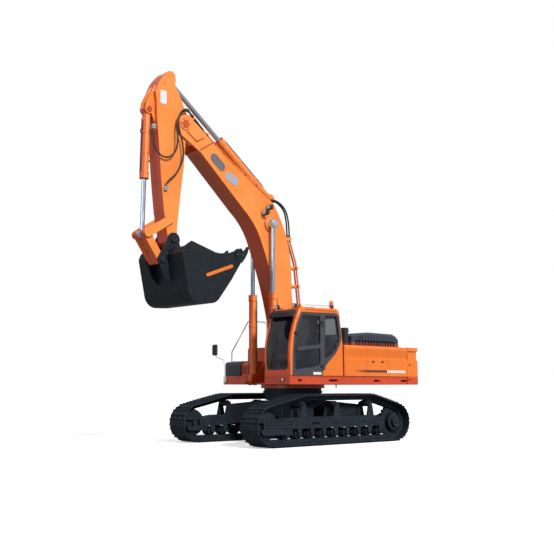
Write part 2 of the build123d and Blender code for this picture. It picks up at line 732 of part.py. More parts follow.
with BuildPart() as cab_shell:
    cab_slab(CAB_RIGHT, HALF_WIDTH)
    outer_edges = cab_shell.edges().filter_by(lambda e: abs(e.center().Y - HALF_WIDTH) < 1)
    fillet(outer_edges.filter_by(lambda e: e.center().Z > CAB_FLOOR + 5), 38.0)
    cab_slab(CAB_RIGHT + CAB_WALL, HALF_WIDTH - CAB_WALL, inset=CAB_WALL, mode=Mode.SUBTRACT)
    with BuildSketch(Plane.YZ.offset(CAB_FRONT - 420)) as opening:
        with Locations((sum(WINDSCREEN_Y) / 2, sum(WINDSCREEN_Z) / 2)):
            RectangleRounded(WINDSCREEN_Y[1] - WINDSCREEN_Y[0], WINDSCREEN_Z[1] - WINDSCREEN_Z[0], 110.0)
    extrude(opening.sketch, amount=500.0, mode=Mode.SUBTRACT)
    with BuildSketch(Plane.YZ.offset(CAB_REAR - 50)) as opening:
        with Locations((sum(REAR_GLASS_Y) / 2, sum(REAR_GLASS_Z) / 2)):
            RectangleRounded(REAR_GLASS_Y[1] - REAR_GLASS_Y[0], REAR_GLASS_Z[1] - REAR_GLASS_Z[0], 60.0)
    extrude(opening.sketch, amount=300.0, mode=Mode.SUBTRACT)
    inset_plate(CAB_RIGHT - 10, CAB_RIGHT + CAB_WALL + 10, right_window, 0, 60.0, mode=Mode.SUBTRACT)
    inset_plate(HALF_WIDTH - CAB_WALL - 1, HALF_WIDTH + 20, door_outline, -DOOR_GAP, 0, mode=Mode.SUBTRACT)
    inset_plate(HALF_WIDTH - 14, HALF_WIDTH + 20, window_frame_outline, 0, 0, mode=Mode.SUBTRACT)
    inset_plate(HALF_WIDTH - CAB_WALL - 1, HALF_WIDTH + 20, rear_window, 0, 50.0, mode=Mode.SUBTRACT)
save(cab_shell, "cab_shell")

with BuildPart() as cab_window_frame:
    inset_plate(HALF_WIDTH - 14 + SEAT_GAP, HALF_WIDTH + 2, window_frame_outline, SEAT_GAP)
    inset_plate(HALF_WIDTH - 20, HALF_WIDTH + 20, rear_window, 0, 50.0, mode=Mode.SUBTRACT)
save(cab_window_frame, "cab_window_frame")

with BuildPart() as cab_glass:
    cab_slab(WINDSCREEN_Y[0] + SEAT_GAP, WINDSCREEN_Y[1] - SEAT_GAP, inset=16.0)
    cab_slab(WINDSCREEN_Y[0], WINDSCREEN_Y[1], inset=16.0 + GLASS, mode=Mode.SUBTRACT)
    with BuildSketch(Plane.YZ.offset(CAB_FRONT - 420)) as pane:
        with Locations((sum(WINDSCREEN_Y) / 2, sum(WINDSCREEN_Z) / 2)):
            RectangleRounded(
                WINDSCREEN_Y[1] - WINDSCREEN_Y[0] - 2 * SEAT_GAP,
                WINDSCREEN_Z[1] - WINDSCREEN_Z[0] - 2 * SEAT_GAP,
                110.0,
            )
    extrude(pane.sketch, amount=500.0, mode=Mode.INTERSECT)
    inset_plate(CAB_RIGHT + 20, CAB_RIGHT + 20 + GLASS, right_window, SEAT_GAP, 60.0)
    inset_plate(HALF_WIDTH - 32, HALF_WIDTH - 32 + GLASS, rear_window, SEAT_GAP, 50.0)
save(cab_glass, "cab_glass")

# sun visor over the windscreen, held by two cheeks on the cab's front
VISOR = 14.0
VISOR_Y = (CAB_RIGHT + 20, HALF_WIDTH - 95)
visor_line = (at(brow, 30, 52), at(brow, 120, -20), at(brow, 168, -128))
with BuildPart() as cab_visor:
    plate(
        VISOR_Y[0],
        VISOR_Y[1],
        (*visor_line, at(visor_line[2], -VISOR, 4), at(visor_line[1], -VISOR, -VISOR), at(brow, 8, 44)),
    )
    for low, high in ((VISOR_Y[0], VISOR_Y[0] + VISOR), (VISOR_Y[1] - VISOR, VISOR_Y[1])):
        plate(low, high, (at(brow, -20, -10), *visor_line, at(brow, 60, -150)))
    cab_slab(CAB_RIGHT - 20, HALF_WIDTH + 20, inset=-SEAT_GAP, mode=Mode.SUBTRACT)
save(cab_visor, "cab_visor")

with BuildPart() as door_frame:
    inset_plate(HALF_WIDTH - CAB_WALL + 10, HALF_WIDTH + 4, door_outline, 0)
    for window in door_windows:
        inset_plate(HALF_WIDTH - CAB_WALL, HALF_WIDTH + 10, window, 0, 45.0, mode=Mode.SUBTRACT)
save(door_frame, "door_frame")

with BuildPart() as door_glass:
    for window in door_windows:
        inset_plate(HALF_WIDTH - 24, HALF_WIDTH - 24 + GLASS, window, SEAT_GAP, 45.0)
save(door_glass, "door_glass")

# ================================================================ door hinge
# height of each knuckle pair's foot; the door's knuckle stands on the cab's
hinge_heights = (1850.0, 2950.0)
KNUCKLE = 60.0
KNUCKLE_RADIUS = 20.0
with BuildPart() as door_hinges:
    for z in hinge_heights:
        with Locations((DOOR_REAR, DOOR_HINGE_Y, z + KNUCKLE / 2)):
            Cylinder(KNUCKLE_RADIUS, KNUCKLE)
        with Locations((DOOR_REAR, DOOR_HINGE_Y, z + KNUCKLE + 25)):
            Cylinder(HINGE_PIN, 50.0)
        block((DOOR_REAR - 70, DOOR_REAR), (HALF_WIDTH + 2, DOOR_HINGE_Y), (z, z + KNUCKLE))
save(door_hinges, "door_hinges")

with BuildPart() as door_fittings:
    for z in hinge_heights:
        block(
            (DOOR_REAR + 8, DOOR_REAR + 80),
            (HALF_WIDTH + 4, DOOR_HINGE_Y),
            (z + KNUCKLE + 2, z + 2 * KNUCKLE + 2),
        )
        with Locations((DOOR_REAR, DOOR_HINGE_Y, z + 1.5 * KNUCKLE + 2)):
            Cylinder(KNUCKLE_RADIUS, KNUCKLE)
            Cylinder(HINGE_PIN + PIN_FIT, KNUCKLE, mode=Mode.SUBTRACT)
    # grab handle near the door's front edge
    block((CAB_FRONT - 190, CAB_FRONT - 160), (HALF_WIDTH + 4, HALF_WIDTH + 40), (2250.0, 2275.0))
    block((CAB_FRONT - 190, CAB_FRONT - 160), (HALF_WIDTH + 4, HALF_WIDTH + 40), (2425.0, 2450.0))
    block((CAB_FRONT - 190, CAB_FRONT - 160), (HALF_WIDTH + 28, HALF_WIDTH + 42), (2250.0, 2450.0))
save(door_fittings, "door_fittings")

# ================================================================ seat and console
INNER_FLOOR = CAB_FLOOR + CAB_WALL
SEAT_Y = (CAB_RIGHT + HALF_WIDTH) / 2
SEAT_HALF = 240.0
CONSOLE_GAP = 5.0  # seat to the consoles beside it
CONSOLE_WIDTH = 100.0
CONSOLE_NEAR = SEAT_HALF + CONSOLE_GAP
CONSOLE_FAR = CONSOLE_NEAR + CONSOLE_WIDTH
with BuildPart() as operator_seat:
    block((120.0, 560.0), (SEAT_Y - 200, SEAT_Y + 200), (INNER_FLOOR, 2080.0))
    with BuildSketch(side(SEAT_Y + SEAT_HALF)) as cushion:
        with BuildLine():
            Polyline((80, 2080), (640, 2080), (640, 2200), (170, 2190), (20, 2880), (-90, 2860), close=True)
        make_face()
        fillet(cushion.vertices(), 40.0)
    extrude(cushion.sketch, amount=2 * SEAT_HALF)
    block((-50.0, 20.0), (SEAT_Y - 140, SEAT_Y + 140), (2860.0, 3060.0))
save(operator_seat, "operator_seat")

with BuildPart() as control_console:
    for low, high in both_sides(CONSOLE_NEAR, CONSOLE_FAR):
        block((60.0, 700.0), (SEAT_Y + low, SEAT_Y + high), (INNER_FLOOR, 2300.0))
        with Locations((640.0, SEAT_Y + (low + high) / 2, 2390.0)):
            Cylinder(20.0, 182.0)
    block((1180.0, 1300.0), (SEAT_Y - 60, SEAT_Y + 60), (INNER_FLOOR, 2050.0))
    block((1150.0, 1330.0), (SEAT_Y - 200, SEAT_Y + 200), (2050.0, 2110.0))
save(control_console, "control_console")

# ================================================================ engine house
CREASE = ((2150.0, 0.0), (2180.0, 38.0), (2400.0, 0.0))  # height, how far in
PANEL = 40.0
SHOULDER_WIDTH = 300.0  # flat top of a side panel
SHOULDER_CHAMFER = 60.0
PANEL_BOTTOM = DECK_TOP + SEAT_GAP


def house_section(hand):
    """Closed section of a side panel: outer face with its crease, then the inner face."""
    points = [(hand * HALF_WIDTH, PANEL_BOTTOM)]
    points += [(hand * (HALF_WIDTH - inset), z) for z, inset in CREASE]
    points += [
        (hand * HALF_WIDTH, PANEL_TOP - SHOULDER_CHAMFER),
        (hand * (HALF_WIDTH - SHOULDER_CHAMFER), PANEL_TOP),
        (hand * (HALF_WIDTH - SHOULDER_WIDTH), PANEL_TOP),
        (hand * (HALF_WIDTH - SHOULDER_WIDTH), PANEL_TOP - PANEL),
        (hand * (HALF_WIDTH - CREASE[1][1] - PANEL), PANEL_TOP - PANEL),
        (hand * (HALF_WIDTH - CREASE[1][1] - PANEL), PANEL_BOTTOM),
    ]
    return points


for hand, name in ((1, "side_panel_left"), (-1, "side_panel_right")):
    with BuildPart() as panel:
        with BuildSketch(Plane.YZ.offset(FRAME_TAIL)) as section:
            with BuildLine():
                Polyline(*house_section(hand), close=True)
            make_face()
        extrude(section.sketch, amount=PANEL_FRONT - PANEL - SEAT_GAP - FRAME_TAIL)
    save(panel, name)

# walls that close the front of the house on each side of the boom's brackets
with BuildPart() as house_bulkheads:
    for low, high in ((-HALF_WIDTH, -FRAME_PLATE_OUT - 20), (FRAME_PLATE_OUT + 20, HALF_WIDTH)):
        block((PANEL_FRONT - PANEL, PANEL_FRONT), (low, high), (PANEL_BOTTOM, PANEL_TOP - 60))
save(house_bulkheads, "house_bulkheads")

with BuildPart() as top_cover:
    block(
        (FRAME_TAIL + 5, PANEL_FRONT),
        (1 + SHOULDER_WIDTH - HALF_WIDTH, HALF_WIDTH - SHOULDER_WIDTH - 1),
        (PANEL_TOP - PANEL, PANEL_TOP),
    )
save(top_cover, "top_cover")

HOOD_FRONT = -1340.0
HOOD_LENGTH = 1940.0
HOOD_REAR = HOOD_FRONT - HOOD_LENGTH
HOOD_HALF = 880.0
HOOD_TOP = 2915.0
LOUVRE_TOP = PANEL_TOP + 190.0
LOUVRE_COUNT = 14
LOUVRE_STEP = (HOOD_LENGTH - 300.0) / LOUVRE_COUNT
LOUVRE_DEPTH = 60.0
with BuildPart() as engine_hood:
    with BuildSketch(side(HOOD_HALF)) as outline:
        with BuildLine():
            Polyline(
                (HOOD_REAR, PANEL_TOP),
                (HOOD_FRONT, PANEL_TOP),
                (HOOD_FRONT - 10, HOOD_TOP - 130),
                (HOOD_FRONT - 110, HOOD_TOP - 50),
                (HOOD_FRONT - 720, HOOD_TOP),
                (HOOD_REAR + 200, HOOD_TOP - 15),
                (HOOD_REAR + 10, HOOD_TOP - 170),
                close=True,
            )
        make_face()
    extrude(outline.sketch, amount=2 * HOOD_HALF)
    crown = engine_hood.edges().filter_by(lambda e: abs(abs(e.center().Y) - HOOD_HALF) < 1)
    chamfer(crown.filter_by(lambda e: e.center().Z > HOOD_TOP - 90), 60.0)
    # upright louvres low on both sides
    for i in range(LOUVRE_COUNT):
        x = HOOD_REAR + 150 + LOUVRE_STEP * i
        for low, high in both_sides(HOOD_HALF - LOUVRE_DEPTH, HOOD_HALF + 1):
            block((x + 20, x + LOUVRE_STEP - 20), (low, high), (PANEL_TOP + 45, LOUVRE_TOP), Mode.SUBTRACT)
save(engine_hood, "engine_hood")

ENGINE_LENGTH = 880.0
with BuildPart() as engine_block:
    block(
        (FRAME_TAIL + 200, FRAME_TAIL + 200 + ENGINE_LENGTH),
        (-700.0, 700.0),
        (BRACKET_TAIL_TOP, PANEL_TOP - PANEL - 20),
    )
save(engine_block, "engine_block")

# square intake duct in front of the hood, with a wider cap
DUCT_X, DUCT_Y = HOOD_FRONT + 130.0, 760.0
DUCT = 135.0
CAP = 170.0
with BuildPart() as air_pre_cleaner:
    with BuildSketch(Plane.XY.offset(PANEL_TOP)):
        with Locations((DUCT_X, DUCT_Y)):
            Rectangle(DUCT, DUCT)
    extrude(amount=400.0)
    with BuildSketch(Plane.XY.offset(PANEL_TOP + 390)):
        with Locations((DUCT_X, DUCT_Y)):
            Rectangle(CAP, CAP)
    extrude(amount=120.0, taper=8)
save(air_pre_cleaner, "air_pre_cleaner")

# ================================================================ counterweight
CW_FRONT = FRAME_TAIL - SEAT_GAP
LIFT_X, LIFT_Y = 285.0 - TAIL_RADIUS, 620.0
LIFT_BORE = 40.0
LIFT_PLATE = 60.0
LIFT_BASE, LIFT_CREST, LIFT_HEIGHT = 150.0, 80.0, 130.0


def tail_outline(inset=0.0):
    """Plan of the counterweight: straight sides, round tail, turned corners."""
    with BuildSketch(Plane.XY) as plan:
        with Locations(((CW_FRONT - TAIL_RADIUS) / 2, 0)):
            Rectangle(TAIL_RADIUS + CW_FRONT, 2 * HALF_WIDTH)
        Circle(TAIL_RADIUS, mode=Mode.INTERSECT)
        corners = plan.vertices().filter_by(lambda v: v.X < CW_FRONT - 100)
        fillet(corners, 160.0)
        if inset:
            offset(amount=-inset, mode=Mode.REPLACE)
    return plan.sketch


# bottom, top and inset of each layer: the belt between follows the side panels' crease
cw_layers = (
    (DECK_BOTTOM, CREASE[0][0], 0.0),
    (CREASE[0][0] - 1, CREASE[2][0] + 1, CREASE[1][1]),
    (CREASE[2][0], PANEL_TOP, 0.0),
)
with BuildPart() as counterweight:
    for low, high, inset in cw_layers:
        extrude(tail_outline(inset).moved(Location((0, 0, low))), amount=high - low)
    for y in (-LIFT_Y, LIFT_Y):
        plate(
            y - LIFT_PLATE / 2,
            y + LIFT_PLATE / 2,
            (
                (LIFT_X - LIFT_BASE, PANEL_TOP - 1),
                (LIFT_X + LIFT_BASE, PANEL_TOP - 1),
                (LIFT_X + LIFT_CREST, PANEL_TOP + LIFT_HEIGHT),
                (LIFT_X - LIFT_CREST, PANEL_TOP + LIFT_HEIGHT),
            ),
        )
        eye = (y - LIFT_PLATE / 2 - 1, y + LIFT_PLATE / 2 + 1)
        disc(eye[0], eye[1], (LIFT_X, PANEL_TOP + 60), LIFT_BORE, mode=Mode.SUBTRACT)
save(counterweight, "counterweight")

# ================================================================ right front
BOX_REAR_X = 350.0
BOX_TOP = 2100.0
BOX_Y = (-SKIRT_Y + 5, -790.0)
with BuildPart() as tool_box:
    with BuildSketch(side(BOX_Y[1])) as outline:
        with BuildLine():
            Line((BOX_REAR_X, DECK_TOP), (RIGHT_DECK_FRONT - 12, DECK_TOP))
            Line((RIGHT_DECK_FRONT - 12, DECK_TOP), (RIGHT_DECK_FRONT - 25, BOX_TOP - 120))
            RadiusArc((RIGHT_DECK_FRONT - 25, BOX_TOP - 120), (RIGHT_DECK_FRONT - 180, BOX_TOP - 10), -150)
            Polyline((RIGHT_DECK_FRONT - 180, BOX_TOP - 10), (BOX_REAR_X, BOX_TOP), (BOX_REAR_X, DECK_TOP))
        make_face()
    extrude(outline.sketch, amount=BOX_Y[1] - BOX_Y[0])
save(tool_box, "tool_box")

# stepped cover beside the tool box, against the boom's trench
COVER_TOP = 2070.0
with BuildPart() as valve_cover:
    with BuildSketch(side(-TRENCH_HALF_WIDTH - 5)) as outline:
        with BuildLine():
            Polyline(
                (BOX_REAR_X, DECK_TOP),
                (RIGHT_DECK_FRONT - 60, DECK_TOP),
                (RIGHT_DECK_FRONT - 75, COVER_TOP - 60),
                (RIGHT_DECK_FRONT - 140, COVER_TOP),
                (BOX_REAR_X, COVER_TOP),
                close=True,
            )
        make_face()
    extrude(outline.sketch, amount=-BOX_Y[1] - TRENCH_HALF_WIDTH - 10)
save(valve_cover, "valve_cover")

with BuildPart() as fuel_tank:
    block((PANEL_FRONT + 5, 345.0), (-SKIRT_Y, -620.0), (DECK_TOP, PANEL_TOP - 20))
    fillet(fuel_tank.edges().filter_by(Axis.X).group_by(Axis.Z)[-1], 50.0)
save(fuel_tank, "fuel_tank")

# ================================================================ lamps, rails and mirror
LAMP_RADIUS = 52.0
LAMP_DEPTH = 70.0
ROOF_LAMP_Z = CAB_TOP + 22.0
# middle of each lamp's back: x, y, z
deck_lamps = ((CAB_DECK_FRONT, 1215.0, 1600.0), (RIGHT_DECK_FRONT, -1326.0, 1600.0))
roof_lamps = ((roof_front[0] + 40, 640.0), (roof_front[0] + 40, 1290.0))
with BuildPart() as work_lamps:
    for x, y, z in deck_lamps:
        with BuildSketch(Plane.YZ.offset(x)) as face:
            with Locations((y, z)):
                Circle(LAMP_RADIUS - 8)
        extrude(face.sketch, amount=20.0)
    for x, y in roof_lamps:
        with BuildSketch(Plane.YZ.offset(x)) as face:
            with Locations((y, ROOF_LAMP_Z)):
                Circle(LAMP_RADIUS)
        extrude(face.sketch, amount=LAMP_DEPTH)
        # foot along the roof
        plate(
            y - 20,
            y + 20,
            (
                at(roof_front, -90, 2 + SEAT_GAP),
                at(roof_front, 0, SEAT_GAP),
                (x + LAMP_DEPTH - 10, ROOF_LAMP_Z - LAMP_RADIUS + 6),
                (x + LAMP_DEPTH - 10, ROOF_LAMP_Z - LAMP_RADIUS + 18),
                at(roof_front, -90, 30),
            ),
        )
save(work_lamps, "work_lamps")

BEACON_X, BEACON_Y = -90.0, 1370.0
with BuildPart() as beacon:
    with Locations((BEACON_X, BEACON_Y, CAB_TOP + SEAT_GAP + 45)):
        Cylinder(62.0, 90.0)
    with BuildSketch(Plane.XY.offset(CAB_TOP + 90)):
        with Locations((BEACON_X, BEACON_Y)):
            Circle(54.0)
    extrude(amount=110.0, taper=6)
save(beacon, "beacon")



def roof_height(x):
    """Where an upright stands on the cab's sloping roof, its seat gap included."""
    slope = (roof_rear[1] - roof_front[1]) / (roof_front[0] - roof_rear[0])
    return roof_front[1] + slope * (roof_front[0] - x + RAIL) + SEAT_GAP


RAIL = 17.0
RAIL_BEND = 90.0
ROOF_RAIL_X = (20.0, 930.0)
ROOF_RAIL_Z = CAB_TOP + 70.0
ROOF_RAIL_Y = HALF_WIDTH - 75.0
GRAB_Y = -SKIRT_Y + 60.0
GRAB_FRONT = 960.0
TANK_TOP = PANEL_TOP - 20.0
GRAB_TOP = TANK_TOP + 750.0
with BuildPart() as handrails:
    # along the cab's roof
    pipe(
        (
            (ROOF_RAIL_X[0], ROOF_RAIL_Y, roof_height(ROOF_RAIL_X[0])),
            (ROOF_RAIL_X[0], ROOF_RAIL_Y, ROOF_RAIL_Z),
            (ROOF_RAIL_X[1], ROOF_RAIL_Y, ROOF_RAIL_Z - 20),
            (ROOF_RAIL_X[1], ROOF_RAIL_Y, roof_height(ROOF_RAIL_X[1])),
        ),
        RAIL,
        50.0,
    )
    # from the fuel tank over the tool box
    pipe(
        (
            (-300.0, GRAB_Y, TANK_TOP),
            (-300.0, GRAB_Y, GRAB_TOP),
            (376.0, GRAB_Y, GRAB_TOP),
            (GRAB_FRONT, GRAB_Y, BOX_TOP + 260),
            (GRAB_FRONT, GRAB_Y, BOX_TOP - 8),
        ),
        RAIL,
        RAIL_BEND,
    )
save(handrails, "handrails")

# upright post at the right front corner with the mirror's arm
POST_X, POST_Y = RIGHT_DECK_FRONT + RAIL + SEAT_GAP, -SKIRT_Y + 70.0
MIRROR_Y, MIRROR_Z = -1790.0, 2420.0
with BuildPart() as mirror_post:
    foot, knee, crest = (POST_Y, DECK_BOTTOM + 40), (POST_Y, 2000.0), (POST_Y - 70, 2170.0)
    pipe([(POST_X, y, z) for y, z in (foot, knee, crest)], RAIL, 60.0)
    shoulder, elbow, tip = (POST_Y - 60, 2150.0), (MIRROR_Y, 2240.0), (MIRROR_Y, MIRROR_Z)
    pipe([(POST_X, y, z) for y, z in (shoulder, elbow, tip)], RAIL - 4, 50.0)
save(mirror_post, "mirror_post")
with BuildPart() as mirror_head:
    with BuildSketch(Plane.YZ.offset(POST_X + RAIL - 4 + SEAT_GAP)) as face:
        with Locations((MIRROR_Y, MIRROR_Z)):
            RectangleRounded(190.0, 300.0, 40.0)
    extrude(face.sketch, amount=45.0, taper=10)
save(mirror_head, "mirror_head")

# ================================================================ boom
FOOT_RADIUS = 205.0
NOSE_BOSS = 150.0
NOSE_RING = at(ARM_PIVOT, -200, 218)
NOSE_RING_RADIUS = 78.0
NOSE_RING_BORE = 36.0
NOSE_RING_PLATE = 38.0
PIN_END = 25.0  # boss of the arm's pin stands out of the boom's side
CYL_EYE_BOSS = 190.0
heel_front = at(BOOM_FOOT, FOOT_RADIUS, 0)
heel_back = at(BOOM_FOOT, -FOOT_RADIUS, 0)
# lower edge from the foot up to the nose, then the upper edge back down
BELLY = ((660.0, 3050.0), (905.0, 3980.0), (1336.0, 5110.0))
CHIN = ((1600.0, 5570.0), (1950.0, 5915.0))
THROAT = at(ARM_PIVOT, -482, -626)
LOWER_NOSE = at(ARM_PIVOT, -98, -407)
NOSE = (at(ARM_PIVOT, 90, -300), at(ARM_PIVOT, 230, -26), at(ARM_PIVOT, -75, 245))
BROW = (at(ARM_PIVOT, -350, 73), at(ARM_PIVOT, -800, -270), (2469.0, 7130.0))
SHOULDER = (1050.0, 6275.0)
BACK = ((960.0, 6230.0), (560.0, 5570.0), (300.0, 4200.0))

with BuildPart() as boom:
    with BuildSketch(side(BOOM_HALF)) as outline:
        with BuildLine():
            Line(heel_front, BELLY[0])
            ThreePointArc(*BELLY)
            ThreePointArc(BELLY[-1], *CHIN)
            Polyline(CHIN[-1], THROAT, LOWER_NOSE, NOSE[0])
            ThreePointArc(*NOSE)
            Line(NOSE[-1], BROW[0])
            ThreePointArc(*BROW)
            Polyline(BROW[-1], SHOULDER, BACK[0])
            ThreePointArc(*BACK)
            Line(BACK[-1], heel_back)
            RadiusArc(heel_back, heel_front, -FOOT_RADIUS)
        make_face()
    extrude(outline.sketch, amount=2 * BOOM_HALF)
    for low, high in both_sides(BOOM_HALF - 1, BOOM_EYE_IN - SIDE_GAP):
        disc(low, high, BOOM_CYL_EYE, CYL_EYE_BOSS)
    # fork at the nose, open for the arm's end
    fork_half = ARM_HALF + FORK_GAP
    plate(
        -fork_half,
        fork_half,
        (
            at(ARM_PIVOT, -800, 524),
            at(ARM_PIVOT, -780, -156),
            at(ARM_PIVOT, -470, -356),
            at(ARM_PIVOT, -320, -876),
            at(ARM_PIVOT, 500, -876),
            at(ARM_PIVOT, 500, 524),
        ),
        mode=Mode.SUBTRACT,
    )
    disc(-BOOM_HALF - PIN_END, BOOM_HALF + PIN_END, ARM_PIVOT, BIG_PIN)
    for low, high in both_sides(BOOM_HALF - 1, BOOM_HALF + PIN_END):
        disc(low, high, ARM_PIVOT, NOSE_BOSS)
    # lugs of the arm cylinder on the boom's shoulder
    lug_in = CYL_EYE_HALF + CYL_LUG_GAP
    for low, high in both_sides(lug_in, lug_in + LUG):
        plate(
            low,
            high,
            (
                at(ARM_CYL_FOOT, -20, -330),
                at(ARM_CYL_FOOT, -125, -40),
                at(ARM_CYL_FOOT, 0, 60),
                at(ARM_CYL_FOOT, 120, -50),
                at(ARM_CYL_FOOT, 430, 110),
                at(ARM_CYL_FOOT, 420, -160),
            ),
        )
        disc(low, high, ARM_CYL_FOOT, EYE_RADIUS)
    disc(-lug_in - LUG, lug_in + LUG, ARM_CYL_FOOT, PIN)
    # lifting rings on the nose
    for low, high in both_sides(BOOM_HALF - NOSE_RING_PLATE, BOOM_HALF):
        disc(low, high, NOSE_RING, NOSE_RING_RADIUS)
        disc(low, high, NOSE_RING, NOSE_RING_BORE, mode=Mode.SUBTRACT)
    disc(-BOOM_HALF - 1, BOOM_HALF + 1, BOOM_FOOT, BIG_PIN + PIN_FIT, mode=Mode.SUBTRACT)
save(boom, "boom")

# two lamps on the boom's left side, above the reach of the boom cylinder's eye
BOOM_LAMP_FOOT = 30.0
boom_lamp_places = ((1140.0, 6070.0), (1290.0, 5905.0))
with BuildPart() as boom_lamps:
    for x, z in boom_lamp_places:
        block((x - 25, x + 25), (BOOM_HALF, BOOM_HALF + BOOM_LAMP_FOOT), (z - 60, z + 20))
        with BuildSketch(Plane.YZ.offset(x - 55)) as body:
            with Locations((BOOM_HALF + BOOM_LAMP_FOOT + 70, z)):
                RectangleRounded(140.0, 120.0, 25.0)
        extrude(body.sketch, amount=120.0)
save(boom_lamps, "boom_lamps")

# steel pipes up the boom's back, on three saddles
BACK_PIPE = 24.0
BACK_PIPE_Y = (-200.0, -110.0, 110.0, 200.0)
BACK_PIPE_BEND = 220.0
back_route = ((-95.0, 3480.0), (60.0, 4700.0), (300.0, 5330.0))
saddle_places = (0.08, 0.5, 0.9)  # share of the long run
with BuildPart() as boom_pipes:
    for y in BACK_PIPE_Y:
        pipe([(x, y, z) for x, z in back_route], BACK_PIPE, BACK_PIPE_BEND)
    for share in saddle_places:
        x = back_route[0][0] + (back_route[1][0] - back_route[0][0]) * share
        z = back_route[0][1] + (back_route[1][1] - back_route[0][1]) * share
        block((x - 30, x + 30), (BACK_PIPE_Y[0] - 45, BACK_PIPE_Y[-1] + 45), (z - 35, z + 35))
        for low, high in both_sides(130.0, 170.0):
            block((x, BACK[-1][0] + 150), (low, high), (z - 30, z + 30))
    x, z = back_route[-1]
    block((x - 40, x + 260), (BACK_PIPE_Y[0] - 45, BACK_PIPE_Y[-1] + 45), (z - 45, z + 45))
    with BuildSketch(side(BOOM_HALF + 10)) as outline:
        with BuildLine():
            Line(heel_front, (2000.0, 3000.0))
            Polyline((2000.0, 3000.0), (2000.0, 6230.0), BACK[0])
            ThreePointArc(*BACK)
            Line(BACK[-1], heel_back)
            Line(heel_back, heel_front)
        make_face()
        offset(amount=SEAT_GAP, mode=Mode.REPLACE)
    extrude(outline.sketch, amount=2 * BOOM_HALF + 20, mode=Mode.SUBTRACT)
save(boom_pipes, "boom_pipes")

# ================================================================ arm
with BuildPart() as arm:
    with BuildSketch(side(ARM_HALF)) as outline:
        with BuildLine():
            Polyline(
                at(ARM_CYL_EYE, -110, -218),
                at(ARM_CYL_EYE, -122, -52),
                at(ARM_CYL_EYE, -90, 90),
                at(ARM_CYL_EYE, 10, 130),
                at(ARM_CYL_EYE, 90, 110),
            )
            ThreePointArc(at(ARM_CYL_EYE, 90, 110), at(ARM_CYL_EYE, 315, -150), at(ARM_CYL_EYE, 455, -470))
            Polyline(
                at(ARM_CYL_EYE, 455, -470),
                at(ARM_PIVOT, 800, 430),
                at(ARM_PIVOT, 782, 15),
                at(ARM_PIVOT, 700, -767),
                at(ARM_PIVOT, 640, -1396),
                at(GUIDE_PIVOT, 165, 230),
                at(BUCKET_PIVOT, 154, 116),
                at(BUCKET_PIVOT, 134, -64),
            )
            ThreePointArc(
                at(BUCKET_PIVOT, 134, -64),
                at(BUCKET_PIVOT, 0, -150),
                at(BUCKET_PIVOT, -151, -34),
            )
            Polyline(
                at(BUCKET_PIVOT, -151, -34),
                at(BUCKET_PIVOT, -121, 306),
                at(ARM_PIVOT, 49, -1541),
                at(ARM_PIVOT, -17, -1037),
                at(ARM_PIVOT, -60, -396),
                at(ARM_PIVOT, -160, -136),
            )
            ThreePointArc(at(ARM_PIVOT, -160, -136), at(ARM_PIVOT, -205, 0), at(ARM_PIVOT, -160, 136))
            Polyline(
                at(ARM_PIVOT, -160, 136),
                at(ARM_PIVOT, 2, 428),
                at(ARM_PIVOT, 144, 730),
                at(ARM_CYL_EYE, -110, -218),
            )
        make_face()
    extrude(outline.sketch, amount=2 * ARM_HALF)
    # slot for the arm cylinder's rod eye
    plate(
        -lug_in,
        lug_in,
        (
            at(ARM_CYL_EYE, -682, 392),
            at(ARM_CYL_EYE, -682, -578),
            at(ARM_CYL_EYE, -232, -578),
            at(ARM_CYL_EYE, 168, -488),
            at(ARM_CYL_EYE, 168, 392),
        ),
        mode=Mode.SUBTRACT,
    )
    # brackets of the bucket cylinder on the arm's front
    for low, high in both_sides(lug_in, lug_in + LUG):
        plate(
            low,
            high,
            (
                at(ARM_CYL_EYE, 300, -200),
                at(ARM_CYL_EYE, 440, -330),
                at(BUCKET_CYL_TOP, 75, 190),
                at(BUCKET_CYL_TOP, 105, 45),
                at(BUCKET_CYL_TOP, -60, -98),
                at(BUCKET_CYL_TOP, -209, -400),
                at(BUCKET_CYL_TOP, -239, -400),
            ),
        )
        disc(low, high, BUCKET_CYL_TOP, EYE_RADIUS - 15)
    disc(-lug_in - LUG, lug_in + LUG, BUCKET_CYL_TOP, SMALL_PIN)
    disc(-ARM_HALF - 1, ARM_HALF + 1, ARM_PIVOT, BIG_PIN + PIN_FIT, mode=Mode.SUBTRACT)
    disc(-ARM_HALF - 1, ARM_HALF + 1, BUCKET_PIVOT, BIG_PIN + PIN_FIT, mode=Mode.SUBTRACT)
    disc(-ARM_HALF - 1, ARM_HALF + 1, GUIDE_PIVOT, SMALL_PIN + PIN_FIT, mode=Mode.SUBTRACT)
save(arm, "arm")


# ================================================================ cylinders
def cylinder_plane(start, end, distance, y):
    """Plane across the line from start to end, at this distance along it."""
    x, z = between(start, end, distance)
    return Plane(origin=(x, y, z), x_dir=(0, 1, 0), z_dir=(end[0] - start[0], 0, end[1] - start[1]))


def tube(start, end, first, last, y, radius, mode=Mode.ADD):
    """Round bar along the line from start to end, between two distances from start."""
    with BuildSketch(cylinder_plane(start, end, first, y)) as ring:
        Circle(radius)
    extrude(ring.sketch, amount=last - first, mode=mode)


def barrel(start, end, length, y, eye_half, eye_radius, pin, radius, rod_radius):
    """Barrel with foot eye, head gland and a bore for the rod."""
    base = eye_radius + BASE_GAP
    link(y - eye_half, y + eye_half, start, eye_radius, between(start, end, base), radius * 0.8)
    tube(start, end, base, length - 60, y, radius)
    tube(start, end, length - 150, length, y, radius + HEAD_STEP)
    tube(start, end, base + 15, length + 1, y, rod_radius + ROD_FIT, mode=Mode.SUBTRACT)
    disc(y - eye_half - 1, y + eye_half + 1, start, pin + PIN_FIT, mode=Mode.SUBTRACT)


